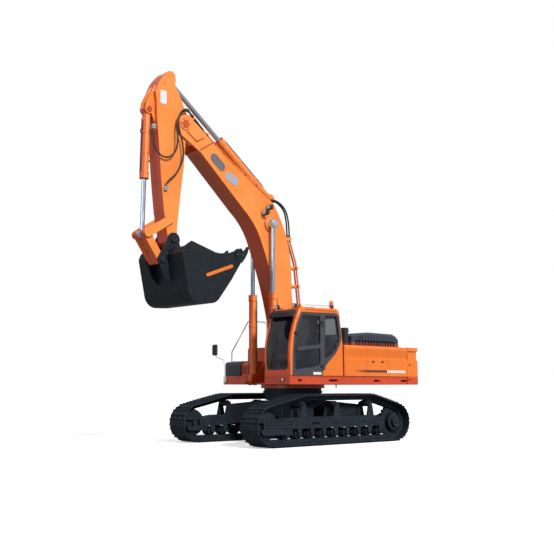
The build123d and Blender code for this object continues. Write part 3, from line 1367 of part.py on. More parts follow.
def rod(start, end, first, y, eye_half, eye_radius, radius):
    """Rod from inside the barrel to its eye."""
    span = hypot(end[0] - start[0], end[1] - start[1])
    tube(start, end, first, span, y, radius)
    disc(y - eye_half, y + eye_half, end, eye_radius)


with BuildPart() as boom_barrels:
    for y in (-BOOM_CYL_Y, BOOM_CYL_Y):
        barrel(
            BOOM_CYL_FOOT,
            BOOM_CYL_EYE,
            BOOM_BARREL_LENGTH,
            y,
            BOOM_EYE_HALF,
            EYE_RADIUS,
            PIN,
            BARREL_RADIUS,
            ROD_RADIUS,
        )
save(boom_barrels, "boom_barrels")
with BuildPart() as boom_rods:
    for y in (-BOOM_CYL_Y, BOOM_CYL_Y):
        rod(BOOM_CYL_FOOT, BOOM_CYL_EYE, BOOM_ROD_FIRST, y, BOOM_EYE_HALF, EYE_RADIUS, ROD_RADIUS)
save(boom_rods, "boom_rods")

with BuildPart() as arm_barrel:
    barrel(
        ARM_CYL_FOOT,
        ARM_CYL_EYE,
        ARM_BARREL_LENGTH,
        0,
        CYL_EYE_HALF,
        EYE_RADIUS,
        PIN,
        ARM_BARREL_RADIUS,
        ARM_ROD_RADIUS,
    )
save(arm_barrel, "arm_barrel")
with BuildPart() as arm_rod:
    rod(ARM_CYL_FOOT, ARM_CYL_EYE, ARM_ROD_FIRST, 0, CYL_EYE_HALF, EYE_RADIUS - 10, ARM_ROD_RADIUS)
save(arm_rod, "arm_rod")
with BuildPart() as bucket_barrel:
    barrel(
        BUCKET_CYL_TOP,
        LINK_PIN,
        BUCKET_BARREL_LENGTH,
        0,
        CYL_EYE_HALF,
        SMALL_EYE_RADIUS,
        SMALL_PIN,
        BUCKET_BARREL_RADIUS,
        BUCKET_ROD_RADIUS,
    )
save(bucket_barrel, "bucket_barrel")
with BuildPart() as bucket_rod:
    rod(BUCKET_CYL_TOP, LINK_PIN, BUCKET_ROD_FIRST, 0, CYL_EYE_HALF, SMALL_EYE_RADIUS - 5, BUCKET_ROD_RADIUS)
save(bucket_rod, "bucket_rod")

# ================================================================ bucket linkage
LINK_IN = ARM_HALF + FORK_GAP
LINK_OUT = LINK_IN + LUG
TIP_LINK_OUT = ARM_HALF
TIP_LINK_IN = 95.0
with BuildPart() as guide_links:
    for low, high in ((-LINK_OUT, -LINK_IN), (LINK_IN, LINK_OUT)):
        link(low, high, GUIDE_PIVOT, 95.0, LINK_PIN, 105.0)
    disc(-LINK_OUT, LINK_OUT, GUIDE_PIVOT, SMALL_PIN)
save(guide_links, "guide_links")

with BuildPart() as tipping_link:
    for low, high in ((-TIP_LINK_OUT, -TIP_LINK_IN), (TIP_LINK_IN, TIP_LINK_OUT)):
        link(low, high, LINK_PIN, 105.0, BUCKET_LINK_PIN, 92.0)
    web_start = between(BUCKET_LINK_PIN, LINK_PIN, 260.0)
    link(-TIP_LINK_IN - 1, TIP_LINK_IN + 1, web_start, 60.0, BUCKET_LINK_PIN, 92.0)
    disc(-TIP_LINK_OUT, TIP_LINK_OUT, BUCKET_LINK_PIN, SMALL_PIN + PIN_FIT, mode=Mode.SUBTRACT)
save(tipping_link, "tipping_link")

# ================================================================ bucket
LIP = (2425.0, 4600.0)
FLOOR_BULGE = (2840.0, 3972.0)
FLOOR_CORNER = (3300.0, 3372.0)
HEEL_CORNER = (4040.0, 3345.0)
WRAP_RADIUS = 330.0
BACK_TOP = (4290.0, 4500.0)
# upper edge of a side plate, from the lip to the back
side_rim = (
    LIP,
    at(LIP, 135, 160),
    at(LIP, 475, 20),
    at(LIP, 845, -30),
    at(BUCKET_PIVOT, -51, -104),
    at(BACK_TOP, -60, 150),
    BACK_TOP,
    at(BACK_TOP, -990, -100),
)
side_cutter = (
    at(LIP, 0, -10),
    at(LIP, 130, 165),
    at(LIP, 330, 95),
    at(LIP, 250, -120),
    at(LIP, 90, -130),
)
CUTTER = 18.0
ADAPTER_HALF = 48.0
TOOTH_END = 110.0  # outer tooth's middle from the bucket's side
tooth_step = 2 * (BUCKET_HALF - TOOTH_END) / (TOOTH_COUNT - 1)
tooth_y = [-BUCKET_HALF + TOOTH_END + tooth_step * i for i in range(TOOTH_COUNT)]
span = hypot(LIP[0] - FLOOR_CORNER[0], LIP[1] - FLOOR_CORNER[1])
lip_ahead = ((LIP[0] - FLOOR_CORNER[0]) / span, (LIP[1] - FLOOR_CORNER[1]) / span)


def along_lip(ahead, inward):
    """Point in side view this far out past the lip and in from the floor's outer face."""
    return at(
        LIP,
        ahead * lip_ahead[0] + inward * lip_ahead[1],
        ahead * lip_ahead[1] - inward * lip_ahead[0],
    )


EAR_IN = LINK_IN
EAR_OUT = LINK_OUT + 5.0


def bucket_wrap(y_low, y_high, inset, mode=Mode.ADD):
    """Floor, heel and back of the bucket as one round-cornered outline, closed over the mouth."""
    with BuildSketch(side(y_high)) as outline:
        with BuildLine():
            FilletPolyline(LIP, FLOOR_BULGE, FLOOR_CORNER, HEEL_CORNER, BACK_TOP, radius=WRAP_RADIUS)
            Polyline(BACK_TOP, (4230.0, 4650.0), (3270.0, 4560.0), LIP)
        make_face()
        if inset:
            offset(amount=-inset, mode=Mode.REPLACE)
    extrude(outline.sketch, amount=y_high - y_low, mode=mode)


with BuildPart() as bucket_shell:
    bucket_wrap(-BUCKET_HALF, BUCKET_HALF, 0.0)
    bucket_wrap(-BUCKET_HALF + BUCKET_SIDE, BUCKET_HALF - BUCKET_SIDE, BUCKET_WRAPPER, mode=Mode.SUBTRACT)
    # open mouth
    plate(
        -BUCKET_HALF + BUCKET_SIDE,
        BUCKET_HALF - BUCKET_SIDE,
        ((2300.0, 4900.0), (2475.0, 4590.0), (3270.0, 4500.0), (4180.0, 4590.0), (4000.0, 5000.0)),
        mode=Mode.SUBTRACT,
    )
    for low, high in both_sides(BUCKET_HALF - BUCKET_SIDE, BUCKET_HALF):
        plate(low, high, side_rim)
    for low, high in both_sides(BUCKET_HALF - 1, BUCKET_HALF + CUTTER):
        plate(low, high, side_cutter)
    # adapters that hold the teeth, over both faces of the lip
    for y in tooth_y:
        plate(
            y - ADAPTER_HALF,
            y + ADAPTER_HALF,
            (
                along_lip(0, 38),
                along_lip(-240, BUCKET_WRAPPER + 4),
                along_lip(-240, 0),
                along_lip(-160, -70),
                along_lip(0, -78),
            ),
        )
    for low, high in ((-EAR_OUT, -EAR_IN), (EAR_IN, EAR_OUT)):
        plate(
            low,
            high,
            (
                (BUCKET_PIVOT[0] - 150, BUCKET_PIVOT[1] - 60),
                (3850.0, 4560.0),
                (BACK_TOP[0] - 20, BACK_TOP[1] - 20),
                (4119.0, 3800.0),
                (4350.0, 4000.0),
                (BUCKET_LINK_PIN[0] + 90, BUCKET_LINK_PIN[1] - 60),
                (BUCKET_LINK_PIN[0] + 60, BUCKET_LINK_PIN[1] + 130),
                (BUCKET_PIVOT[0] + 150, BUCKET_PIVOT[1] + 40),
            ),
        )
        disc(low, high, BUCKET_PIVOT, 165.0)
        disc(low, high, BUCKET_LINK_PIN, 120.0)
    disc(-EAR_OUT - 20, EAR_OUT + 20, BUCKET_PIVOT, BIG_PIN)
    disc(-EAR_OUT - 20, EAR_OUT + 20, BUCKET_LINK_PIN, SMALL_PIN)
save(bucket_shell, "bucket_shell")

TOOTH_HALF = 52.0
with BuildPart() as bucket_teeth:
    for y in tooth_y:
        plate(
            y - TOOTH_HALF,
            y + TOOTH_HALF,
            (
                along_lip(SEAT_GAP, 30),
                along_lip(TOOTH_LENGTH, 6),
                along_lip(TOOTH_LENGTH, -8),
                along_lip(TOOTH_LENGTH * 0.45, -62),
                along_lip(SEAT_GAP, -72),
            ),
        )
save(bucket_teeth, "bucket_teeth")
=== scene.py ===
import json
import math

import bmesh
import bpy
from bpy.props import FloatProperty, FloatVectorProperty, PointerProperty
from bpy.types import Operator, Panel, PropertyGroup
from mathutils import Matrix, Vector


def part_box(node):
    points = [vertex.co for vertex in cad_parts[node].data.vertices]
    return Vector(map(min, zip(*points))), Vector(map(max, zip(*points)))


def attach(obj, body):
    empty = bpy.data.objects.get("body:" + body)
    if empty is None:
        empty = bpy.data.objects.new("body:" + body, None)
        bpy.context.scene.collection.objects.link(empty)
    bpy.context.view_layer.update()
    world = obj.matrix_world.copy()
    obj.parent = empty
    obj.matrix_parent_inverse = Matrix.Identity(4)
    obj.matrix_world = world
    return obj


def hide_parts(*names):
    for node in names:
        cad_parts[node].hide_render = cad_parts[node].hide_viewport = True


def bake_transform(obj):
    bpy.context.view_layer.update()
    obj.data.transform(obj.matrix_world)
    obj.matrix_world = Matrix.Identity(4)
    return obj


bl_info = {
    "name": "Crawler excavator",
    "version": (1, 0, 0),
    "blender": (4, 5, 0),
    "location": "View3D > Sidebar > Excavator",
    "description": "Finishes, fittings and stage for a crawler excavator on its packed frame",
    "category": "Add Mesh",
}

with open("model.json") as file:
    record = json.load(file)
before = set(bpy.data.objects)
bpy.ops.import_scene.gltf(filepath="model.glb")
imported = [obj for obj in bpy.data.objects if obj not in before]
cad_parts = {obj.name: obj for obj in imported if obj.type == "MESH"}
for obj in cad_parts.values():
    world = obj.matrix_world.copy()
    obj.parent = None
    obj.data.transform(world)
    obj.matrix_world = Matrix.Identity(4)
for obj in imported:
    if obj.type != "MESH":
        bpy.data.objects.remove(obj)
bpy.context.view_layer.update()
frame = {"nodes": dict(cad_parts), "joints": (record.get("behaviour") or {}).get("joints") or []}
PIVOT = {joint["name"]: Vector(joint["pos_m"]) for joint in frame["joints"] if "pos_m" in joint}
MADE = {}

# half widths of the main weldments and places on them, in metres
BOOM_SIDE = 0.280
ARM_SIDE = 0.220
ARM_LUG = 0.118
PIN_END = 0.304


# ------------------------------------------------------------------ shader maths
class Signal:
    """A socket that takes part in sums: values through Math, vectors through Vector Math."""

    def __init__(self, finish, socket):
        self.finish = finish
        self.socket = socket

    def _sum(self, operation, first, second):
        vector = any(isinstance(s, Signal) and s.socket.type == "VECTOR" for s in (first, second))
        kind = "ShaderNodeVectorMath" if vector else "ShaderNodeMath"
        return self.finish.node(kind, {"operation": operation}, {0: first, 1: second})

    def __add__(self, other):
        return self._sum("ADD", self, other)

    def __radd__(self, other):
        return self._sum("ADD", other, self)

    def __sub__(self, other):
        return self._sum("SUBTRACT", self, other)

    def __rsub__(self, other):
        return self._sum("SUBTRACT", other, self)

    def __mul__(self, other):
        return self._sum("MULTIPLY", self, other)

    def at_least(self, other):
        return self._sum("MAXIMUM", self, other)

    def ramp(self, low, high):
        """0 below low, 1 above high, and a smooth step between."""
        return self.finish.node(
            "ShaderNodeMapRange",
            {"interpolation_type": "SMOOTHSTEP"},
            {"Value": self, "From Min": low, "From Max": high, "To Min": 0.0, "To Max": 1.0},
        )


class Finish:
    """One material and the nodes behind its Principled shader."""

    def __init__(self, name):
        self.material = bpy.data.materials.new(name)
        self.material.use_nodes = True
        self.tree = self.material.node_tree
        self.tree.nodes.clear()
        self.output = self.tree.nodes.new("ShaderNodeOutputMaterial")
        self.shader = self.tree.nodes.new("ShaderNodeBsdfPrincipled")
        self.tree.links.new(self.shader.outputs[0], self.output.inputs[0])

    def node(self, kind, settings=None, sockets=None, output=None):
        """Add a node: its settings first, then its sockets' values or links."""
        item = self.tree.nodes.new(kind)
        for key, value in (settings or {}).items():
            setattr(item, key, value)
        for key, value in (sockets or {}).items():
            self.feed(item.inputs[key], value)
        if output is None:
            output = next(i for i, s in enumerate(item.outputs) if s.enabled)
        return Signal(self, item.outputs[output])

    def feed(self, socket, value):
        if isinstance(value, Signal):
            self.tree.links.new(value.socket, socket)
        elif isinstance(value, tuple) and len(value) == 3 and socket.type == "RGBA":
            socket.default_value = (*value, 1.0)
        else:
            socket.default_value = value

    def set(self, **sockets):
        """Feed the shader: Base_Color=..., Roughness=... ."""
        for key, value in sockets.items():
            self.feed(self.shader.inputs[key.replace("_", " ")], value)
        return self

    # --- sources
    def place(self):
        """Place on the machine at rest, in metres."""
        return self.node("ShaderNodeTexCoord", None, None, "Object")

    def axes(self):
        """The three coordinates of the place at rest."""
        split = self.tree.nodes.new("ShaderNodeSeparateXYZ")
        self.feed(split.inputs[0], self.place())
        return [Signal(self, s) for s in split.outputs]

    def facing(self):
        """How far the surface looks ahead, 1 when square to the machine's long axis."""
        split = self.tree.nodes.new("ShaderNodeSeparateXYZ")
        self.feed(split.inputs[0], self.node("ShaderNodeTexCoord", None, None, "Normal"))
        return Signal(self, split.outputs[0])

    def noise(self, scale, detail=2.0, stretch=None):
        place = self.place()
        if stretch:
            place = place * stretch
        sockets = {"Vector": place, "Scale": scale, "Detail": detail}
        return self.node("ShaderNodeTexNoise", None, sockets, 0)

    def cells(self, scale):
        sockets = {"Vector": self.place(), "Scale": scale}
        return self.node("ShaderNodeTexVoronoi", None, sockets, 0)

    def waves(self, direction, scale, distortion=0.0, detail=2.0):
        settings = {"wave_type": "BANDS", "bands_direction": direction}
        sockets = {"Vector": self.place(), "Scale": scale, "Distortion": distortion, "Detail": detail}
        return self.node("ShaderNodeTexWave", settings, sockets, 1)

    def edges(self, radius, low=0.02, high=0.3):
        """1 along sharp edges, from how far the rounded normal leans from the flat one."""
        rounded = self.node("ShaderNodeBevel", {"samples": 4}, {"Radius": radius}, 0)
        flat = self.node("ShaderNodeNewGeometry", None, None, "Normal")
        dot = {"operation": "DOT_PRODUCT"}
        lean = self.node("ShaderNodeVectorMath", dot, {0: rounded, 1: flat}, "Value")
        return (1.0 - lean).ramp(low, high)

    def mix(self, factor, first, second):
        """Colour from first to second as factor goes from 0 to 1."""
        item = self.tree.nodes.new("ShaderNodeMix")
        item.data_type = "RGBA"
        colours = [s for s in item.inputs if s.type == "RGBA"]
        self.feed(item.inputs[0], factor)
        self.feed(colours[0], first)
        self.feed(colours[1], second)
        return Signal(self, next(s for s in item.outputs if s.type == "RGBA"))

    def bump(self, height, strength, distance, radius=None):
        """Bump on the surface; with a radius, sharp edges catch light as if rounded."""
        sockets = {"Height": height, "Strength": strength, "Distance": distance}
        if radius:
            sockets["Normal"] = self.node("ShaderNodeBevel", {"samples": 4}, {"Radius": radius}, 0)
        return self.node("ShaderNodeBump", None, sockets)


def machine_paint(name, light, deep, gloss, dust, mark=None, painted_front_shade=None):
    """Sprayed machine paint: slow colour drift, worn edges, dust in the low places, orange peel, and a
    painted shade that turns faces looking ahead a deeper red.
    """
    paint = Finish(name)
    x, _, z = paint.axes()
    drift = paint.noise(0.7, 3.0)
    grain = paint.noise(38.0, 4.0)
    runs = paint.noise(5.0, 4.0, (1.0, 1.0, 0.12))
    colour = paint.mix(drift.ramp(0.3, 0.75), deep, light)
    # painted shade: faces that look ahead blend into a deeper red, the shade they stand in
    if painted_front_shade:
        colour = paint.mix(paint.facing().ramp(0.25, 0.85), colour, painted_front_shade)
    if mark:
        colour = mark(paint, colour, x, z)
    low = 1.0 - z.ramp(0.4, 2.2)
    dirt = (grain.ramp(0.48, 0.78) * 0.6 + runs.ramp(0.55, 0.85) * 0.7) * (low * 0.8 + 0.2) * dust
    colour = paint.mix(dirt, colour, (0.16, 0.10, 0.07))
    worn = paint.edges(0.006) * grain.ramp(0.52, 0.62)
    colour = paint.mix(worn * 0.55, colour, (0.30, 0.16, 0.10))
    rough = gloss + dirt * 0.4 + grain * 0.08
    peel = paint.noise(160.0, 1.0)
    normal = paint.bump(peel + worn * -1.5, 0.12, 0.0015, 0.006)
    paint.set(Base_Color=colour, Roughness=rough, Normal=normal, Metallic=0.0)
    paint.set(Coat_Weight=0.35, Coat_Roughness=0.12)
    return paint.material


def worn_steel(name, dark, bare, shine, metal, dust):
    """Dark steel that runs in dirt: bright where it rubs, dusty between."""
    steel = Finish(name)
    grain = steel.noise(30.0, 5.0)
    patch = steel.noise(4.0, 3.0)
    pits = steel.cells(90.0)
    rub = steel.edges(0.008, 0.01, 0.22) * grain.ramp(0.35, 0.6)
    colour = steel.mix(patch.ramp(0.35, 0.75), dark, tuple(c * 1.7 for c in dark))
    colour = steel.mix(grain.ramp(0.55, 0.8) * dust, colour, (0.11, 0.095, 0.08))
    colour = steel.mix(rub * 0.75, colour, bare)
    steel.set(
        Base_Color=colour,
        Roughness=shine + grain * 0.25 - rub * 0.2,
        Metallic=metal - grain.ramp(0.5, 0.8) * 0.4,
        Normal=steel.bump(grain + pits * 0.4, 0.25, 0.003, 0.006),
    )
    return steel.material


def hard_chrome(name, tint):
    """Polished piston rod with faint lengthwise polish lines and an oil film."""
    chrome = Finish(name)
    lines = chrome.noise(260.0, 2.0, (1.0, 1.0, 0.15))
    film = chrome.noise(3.0, 2.0)
    colour = chrome.mix(film.ramp(0.4, 0.8) * 0.25, tint, (0.55, 0.63, 0.72))
    chrome.set(
        Base_Color=colour,
        Metallic=0.95,
        Roughness=0.16 + film.ramp(0.4, 0.8) * 0.12,
        Normal=chrome.bump(lines, 0.04, 0.0005),
    )
    return chrome.material


def cab_glazing(name, tint, alpha):
    """Tinted laminated glass with a faint dust bloom towards its edges."""
    glass = Finish(name)
    bloom = glass.noise(2.2, 3.0).ramp(0.45, 0.8)
    specks = glass.noise(120.0, 2.0).ramp(0.6, 0.75)
    colour = glass.mix(bloom * 0.5, tint, (0.05, 0.06, 0.07))
    glass.set(
        Base_Color=colour,
        Roughness=0.03 + bloom * 0.05 + specks * 0.03,
        Alpha=alpha + bloom * 0.06,
        Metallic=0.0,
    )
    glass.set(Coat_Weight=0.6, Coat_Roughness=0.02, Specular_IOR_Level=0.7)
    glass.material.blend_method = "BLEND"
    return glass.material


def moulded_plastic(name, colour):
    """Grained plastic, paler where hands and weather reach it."""
    plastic = Finish(name)
    grain = plastic.cells(420.0)
    fade = plastic.noise(2.5, 3.0)
    paler = tuple(min(1.0, c * 1.6 + 0.01) for c in colour)
    plastic.set(
        Base_Color=plastic.mix(fade.ramp(0.4, 0.8) * 0.6, colour, paler),
        Roughness=0.55 + fade * 0.12,
        Normal=plastic.bump(grain, 0.25, 0.0008, 0.004),
    )
    return plastic.material


def rubber(name, colour):
    """Hose and gasket rubber with a cloth-wrapped surface and a dusty bloom."""
    skin = Finish(name)
    wrap = skin.waves("DIAGONAL", 90.0, 1.5, 1.0)
    bloom = skin.noise(14.0, 3.0)
    skin.set(
        Base_Color=skin.mix(bloom.ramp(0.5, 0.8) * 0.35, colour, (0.10, 0.095, 0.09)),
        Roughness=0.55 + bloom * 0.2,
        Normal=skin.bump(wrap, 0.2, 0.0008),
    )
    return skin.material


def woven_seat(name, colour):
    """Coarse seat cloth: two crossing yarn waves, lighter where it is sat on."""
    cloth = Finish(name)
    weave = cloth.waves("X", 160.0, 0.6).at_least(cloth.waves("Z", 160.0, 0.6))
    use = cloth.noise(3.0, 2.0)
    cloth.set(
        Base_Color=cloth.mix(weave * 0.6 + use * 0.3, colour, tuple(c * 2.2 + 0.01 for c in colour)),
        Roughness=0.85 + use * 0.1,
        Normal=cloth.bump(weave, 0.5, 0.001),
    )
    cloth.set(Sheen_Weight=0.3, Sheen_Roughness=0.5)
    return cloth.material


def lamp_lens(name, colour, glow):
    """Fluted lamp glass over a bright reflector."""
    lens = Finish(name)
    flutes = lens.waves("Y", 60.0)
    haze = lens.noise(20.0, 2.0)
    lens.set(
        Base_Color=lens.mix(flutes * 0.5, colour, tuple(min(1.0, c * 1.5 + 0.05) for c in colour)),
        Roughness=0.08 + haze * 0.08,
        Metallic=0.3,
        Normal=lens.bump(flutes, 0.3, 0.001),
        Emission_Color=(*colour, 1.0),
        Emission_Strength=glow,
    )
    lens.set(Coat_Weight=1.0, Coat_Roughness=0.03)
    return lens.material


# ------------------------------------------------------------------ mesh making
def dress(piece, body, finish_name):
    """Link a piece, give it its finish and let it ride on a body."""
    bpy.context.scene.collection.objects.link(piece)
    piece.data.materials.append(finish(finish_name))
    if body:
        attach(piece, body)
    return piece


def mesh_piece(name, shape, body, finish_name, bevel=0.0, angle=35.0):
    """Turn a bmesh into a piece that rides on a body."""
    bmesh.ops.remove_doubles(shape, verts=shape.verts, dist=1e-5)
    bmesh.ops.recalc_face_normals(shape, faces=shape.faces)
    mesh = bpy.data.meshes.new(name)
    shape.to_mesh(mesh)
    shape.free()
    piece = bpy.data.objects.new(name, mesh)
    mesh.shade_smooth()
    mesh.set_sharp_from_angle(angle=math.radians(angle))
    if bevel:
        edge = piece.modifiers.new("edges", "BEVEL")
        edge.width = bevel
        edge.segments = 2
        edge.limit_method = "ANGLE"
        edge.angle_limit = math.radians(30)
        edge.harden_normals = True
    return dress(piece, body, finish_name)


def round_curve(name, radius):
    """Empty curve that is drawn as a round bar."""
    data = bpy.data.curves.new(name, "CURVE")
    data.dimensions = "3D"
    data.bevel_depth = radius
    data.bevel_resolution = 4
    data.use_fill_caps = True
    return data


def curve_piece(name, lines, radius, body, finish_name):
    """Round bars through points: each line is one smooth spline."""
    data = round_curve(name, radius)
    for points in lines:
        spline = data.splines.new("BEZIER")
        spline.bezier_points.add(len(points) - 1)
        for knot, point in zip(spline.bezier_points, points):
            knot.co = point
            knot.handle_left_type = knot.handle_right_type = "AUTO"
        spline.resolution_u = 6
    return dress(bpy.data.objects.new(name, data), body, finish_name)


def hose_piece(name, points, radius, finish_name):
    """Mesh tube on one smooth spline, for a hose that crosses a joint."""
    data = round_curve(name, radius)
    spline = data.splines.new("NURBS")
    spline.points.add(len(points) - 1)
    for knot, point in zip(spline.points, points):
        knot.co = (*point, 1.0)
    spline.order_u = 3
    spline.use_endpoint_u = True
    spline.resolution_u = 8
    source = bpy.data.objects.new(name + "_line", data)
    bpy.context.scene.collection.objects.link(source)
    bpy.context.view_layer.update()
    mesh = bpy.data.meshes.new_from_object(source.evaluated_get(bpy.context.evaluated_depsgraph_get()))
    mesh.name = name
    bpy.data.objects.remove(source)
    bpy.data.curves.remove(data)
    mesh.materials.clear()
    mesh.shade_smooth()
    return dress(bpy.data.objects.new(name, mesh), None, finish_name)


def bent(points, radius):
    """The same corners, each replaced by two points a bend radius from it."""
    out = [points[0]]
    for before, corner, after in zip(points, points[1:], points[2:]):
        corner, before, after = Vector(corner), Vector(before), Vector(after)
        back = before - corner
        ahead = after - corner
        step = min(radius, back.length * 0.45, ahead.length * 0.45)
        out.append(tuple(corner + back.normalized() * step))
        out.append(tuple(corner + (back.normalized() + ahead.normalized()) * step * 0.3))
        out.append(tuple(corner + ahead.normalized() * step))
    out.append(points[-1])
    return out


def add_box(shape, low, high):
    centre = [(a + b) / 2 for a, b in zip(low, high)]
    size = [b - a for a, b in zip(low, high)]
    place = Matrix.Translation(centre) @ Matrix.Diagonal((*size, 1.0))
    bmesh.ops.create_cube(shape, size=1.0, matrix=place)


def add_bar(shape, start, end, radius, sides=16, end_radius=None):
    """Round bar from start to end."""
    start, end = Vector(start), Vector(end)
    line = end - start
    turn = line.to_track_quat("Z", "Y").to_matrix().to_4x4()
    bmesh.ops.create_cone(
        shape,
        cap_ends=True,
        segments=sides,
        radius1=radius,
        radius2=radius if end_radius is None else end_radius,
        depth=line.length,
        matrix=Matrix.Translation((start + end) / 2) @ turn,
    )


def add_ring(shape, centre, axis, outer, inner, height, sides=32):
    """Flat ring standing on a surface, with its bore left open."""
    axis = Vector(axis).normalized()
    turn = axis.to_track_quat("Z", "Y").to_matrix()
    rings = []
    for radius, lift in ((inner, 0.0), (inner, height), (outer, height), (outer, 0.0)):
        ring = []
        for i in range(sides):
            t = 2 * math.pi * i / sides
            spoke = turn @ Vector((radius * math.cos(t), radius * math.sin(t), lift))
            ring.append(shape.verts.new(Vector(centre) + spoke))
        rings.append(ring)
    for a, b in zip(rings, rings[1:] + rings[:1]):
        for i in range(sides):
            j = (i + 1) % sides
            shape.faces.new((a[i], a[j], b[j], b[i]))


def add_bolt(shape, seat, axis, size=0.03, height=0.018):
    """Hexagon head with its washer, standing on seat."""
    axis = Vector(axis).normalized()
    seat = Vector(seat)
    add_bar(shape, seat, seat + axis * height * 0.25, size * 0.95, 14)
    add_bar(shape, seat + axis * height * 0.25, seat + axis * height, size * 0.62, 6)


def side_view(ahead, above, depth):
    return (ahead, depth, above)


def front_view(across, above, depth):
    return (depth, across, above)


def plan_view(ahead, across, depth):
    return (ahead, across, depth)


def add_prism(shape, outline, low, high, view=side_view):
    """Outline in one view, drawn out from low to high across it."""
    lower = [shape.verts.new(view(a, b, low)) for a, b in outline]
    upper = [shape.verts.new(view(a, b, high)) for a, b in outline]
    shape.faces.new(lower)
    shape.faces.new(list(reversed(upper)))
    for i in range(len(outline)):
        j = (i + 1) % len(outline)
        shape.faces.new((lower[i], upper[i], upper[j], lower[j]))


def add_boss(shape, seat, way, height, radius, sides):
    """Round boss that stands on a side face, to the left for way 1 and to the right for -1."""
    add_bar(shape, seat, (seat[0], seat[1] + way * height, seat[2]), radius, sides)


def add_path(shape, points, radius, sides):
    """Straight bars from each point to the next."""
    for start, end in zip(points, points[1:]):
        add_bar(shape, start, end, radius, sides)


def bolt_circle(shape, centre, axis, radius, count, size=0.03, height=0.018):
    axis = Vector(axis).normalized()
    turn = axis.to_track_quat("Z", "Y").to_matrix()
    for i in range(count):
        t = 2 * math.pi * i / count
        seat = Vector(centre) + turn @ Vector((radius * math.cos(t), radius * math.sin(t), 0.0))
        add_bolt(shape, seat, axis, size, height)


def capsule(start, end, half, arc=6):
    """Outline of a flat bar with round ends."""
    lead = math.atan2(end[1] - start[1], end[0] - start[0])
    outline = []
    for centre, first in ((end, lead - math.pi / 2), (start, lead + math.pi / 2)):
        for i in range(arc + 1):
            t = first + math.pi * i / arc
            outline.append((centre[0] + half * math.cos(t), centre[1] + half * math.sin(t)))
    return outline


def rectangle(low, high):
    return (low, (high[0], low[1]), high, (low[0], high[1]))


def rounded(low, high, radius):
    """Outline of a rectangle with round corners."""
    outline, arc = [], 4
    corners = ((high[0], high[1], 0), (low[0], high[1], 1), (low[0], low[1], 2), (high[0], low[1], 3))
    for x, z, quarter in corners:
        centre_x = x - radius if quarter in (0, 3) else x + radius
        centre_z = z - radius if quarter in (0, 1) else z + radius
        for i in range(arc + 1):
            t = math.pi / 2 * (quarter + i / arc)
            outline.append((centre_x + radius * math.cos(t), centre_z + radius * math.sin(t)))
    return outline


def tilted(centre, ahead, thick, lean):
    """Outline of a small block on a slope: half length along it, half thickness across it."""
    outline = []
    for a, b in rectangle((-ahead, -thick), (ahead, thick)):
        x = centre[0] + a * math.cos(lean) - b * math.sin(lean)
        outline.append((x, centre[1] + a * math.sin(lean) + b * math.cos(lean)))
    return outline


def both_hands(value):
    """The same place across the machine on the left and on the right."""
    return ((1, value), (-1, -value))


def thick(hand, side, sunk, proud):
    """Across the machine, from sunk below a side face to proud of it, the lower end first."""
    return sorted((side - hand * sunk, side + hand * proud))


def add_seal(shape, window, shortened, half, low, high):
    """Rubber strip round a window in side view, its corners left open for the pane's round ones."""
    for start, end in zip(window, window[1:] + window[:1]):
        cut = shortened / math.dist(start, end)
        a = tuple(s + (e - s) * cut for s, e in zip(start, end))
        b = tuple(e + (s - e) * cut for s, e in zip(start, end))
        add_prism(shape, capsule(a, b, half, 2), low, high)


def corners(node):
    """Low and high corner of a solid that came with the frame."""
    low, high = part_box(node)
    return Vector(low), Vector(high)


def middle(node):
    low, high = corners(node)
    return (low + high) / 2


# ------------------------------------------------------------------ sizes and colours
class PaintSettings(PropertyGroup):
    """Colours and ageing of the machine."""

    orange: FloatVectorProperty(
        name="Orange", description="Main machine paint", subtype="COLOR", default=(0.80, 0.205, 0.018)
    )
    orange_deep: FloatVectorProperty(
        name="Deep orange", description="Main paint where it is thinner", subtype="COLOR",
        default=(0.73, 0.150, 0.012),
    )
    door_grey: FloatVectorProperty(
        name="Door grey", description="Door frame paint", subtype="COLOR", default=(0.050, 0.053, 0.072)
    )
    steel: FloatVectorProperty(
        name="Dark steel", description="Tracks and track frames", subtype="COLOR",
        default=(0.006, 0.013, 0.022),
    )
    bare: FloatVectorProperty(
        name="Bare steel", description="Rubbed edges", subtype="COLOR", default=(0.07, 0.09, 0.11)
    )
    dust: FloatProperty(
        name="Dust", description="How much dust lies on the paint", default=0.22, min=0.0, max=1.0,
        subtype="FACTOR",
    )


class StageSettings(PropertyGroup):
    """Camera, floor and light."""

    lens: FloatProperty(name="Lens", description="Focal length", default=56.40, unit="CAMERA")
    eye: FloatVectorProperty(
        name="Eye", description="Camera position", subtype="XYZ", default=(15.774, 17.087, 1.416)
    )
    heading: FloatProperty(
        name="Heading", description="Camera heading from the machine's front", subtype="ANGLE",
        default=math.radians(48.319),
    )
    rise: FloatProperty(
        name="Rise", description="How far the camera looks up", subtype="ANGLE",
        default=math.radians(7.228),
    )
    sun: FloatProperty(name="Key light", description="Strength of the key light", default=3.4, min=0.0)
    sky: FloatProperty(
        name="Sky", description="Strength of the surrounding light", default=0.42, min=0.0
    )
    floor_glow: FloatProperty(
        name="Floor glow", description="How far the floor outshines its shadows", default=0.45, min=0.0
    )


def sizes():
    return bpy.context.scene.excavator_paint, bpy.context.scene.excavator_stage


# ------------------------------------------------------------------ finishes of this machine
def side_stripe(paint, colour, x, z):
    """Dark band that fades in, then a pale band, along the house side."""
    band = z.ramp(1.796, 1.800) * (1.0 - z.ramp(1.862, 1.866))
    dark = x.ramp(-2.096, -2.090) * (1.0 - x.ramp(-1.35, -0.70)) * band
    pale = x.ramp(-2.856, -2.850) * (1.0 - x.ramp(-2.096, -2.090)) * band
    colour = paint.mix(dark * 0.92, colour, (0.045, 0.020, 0.030))
    return paint.mix(pale, colour, (0.66, 0.66, 0.70))


def painted_shade_at_foot(paint, colour, x, z):
    """Painted shade: the deck's deeper red carried round the foot of the counterweight as a band."""
    return paint.mix(z.ramp(1.696, 1.704), (0.56, 0.062, 0.013), colour)


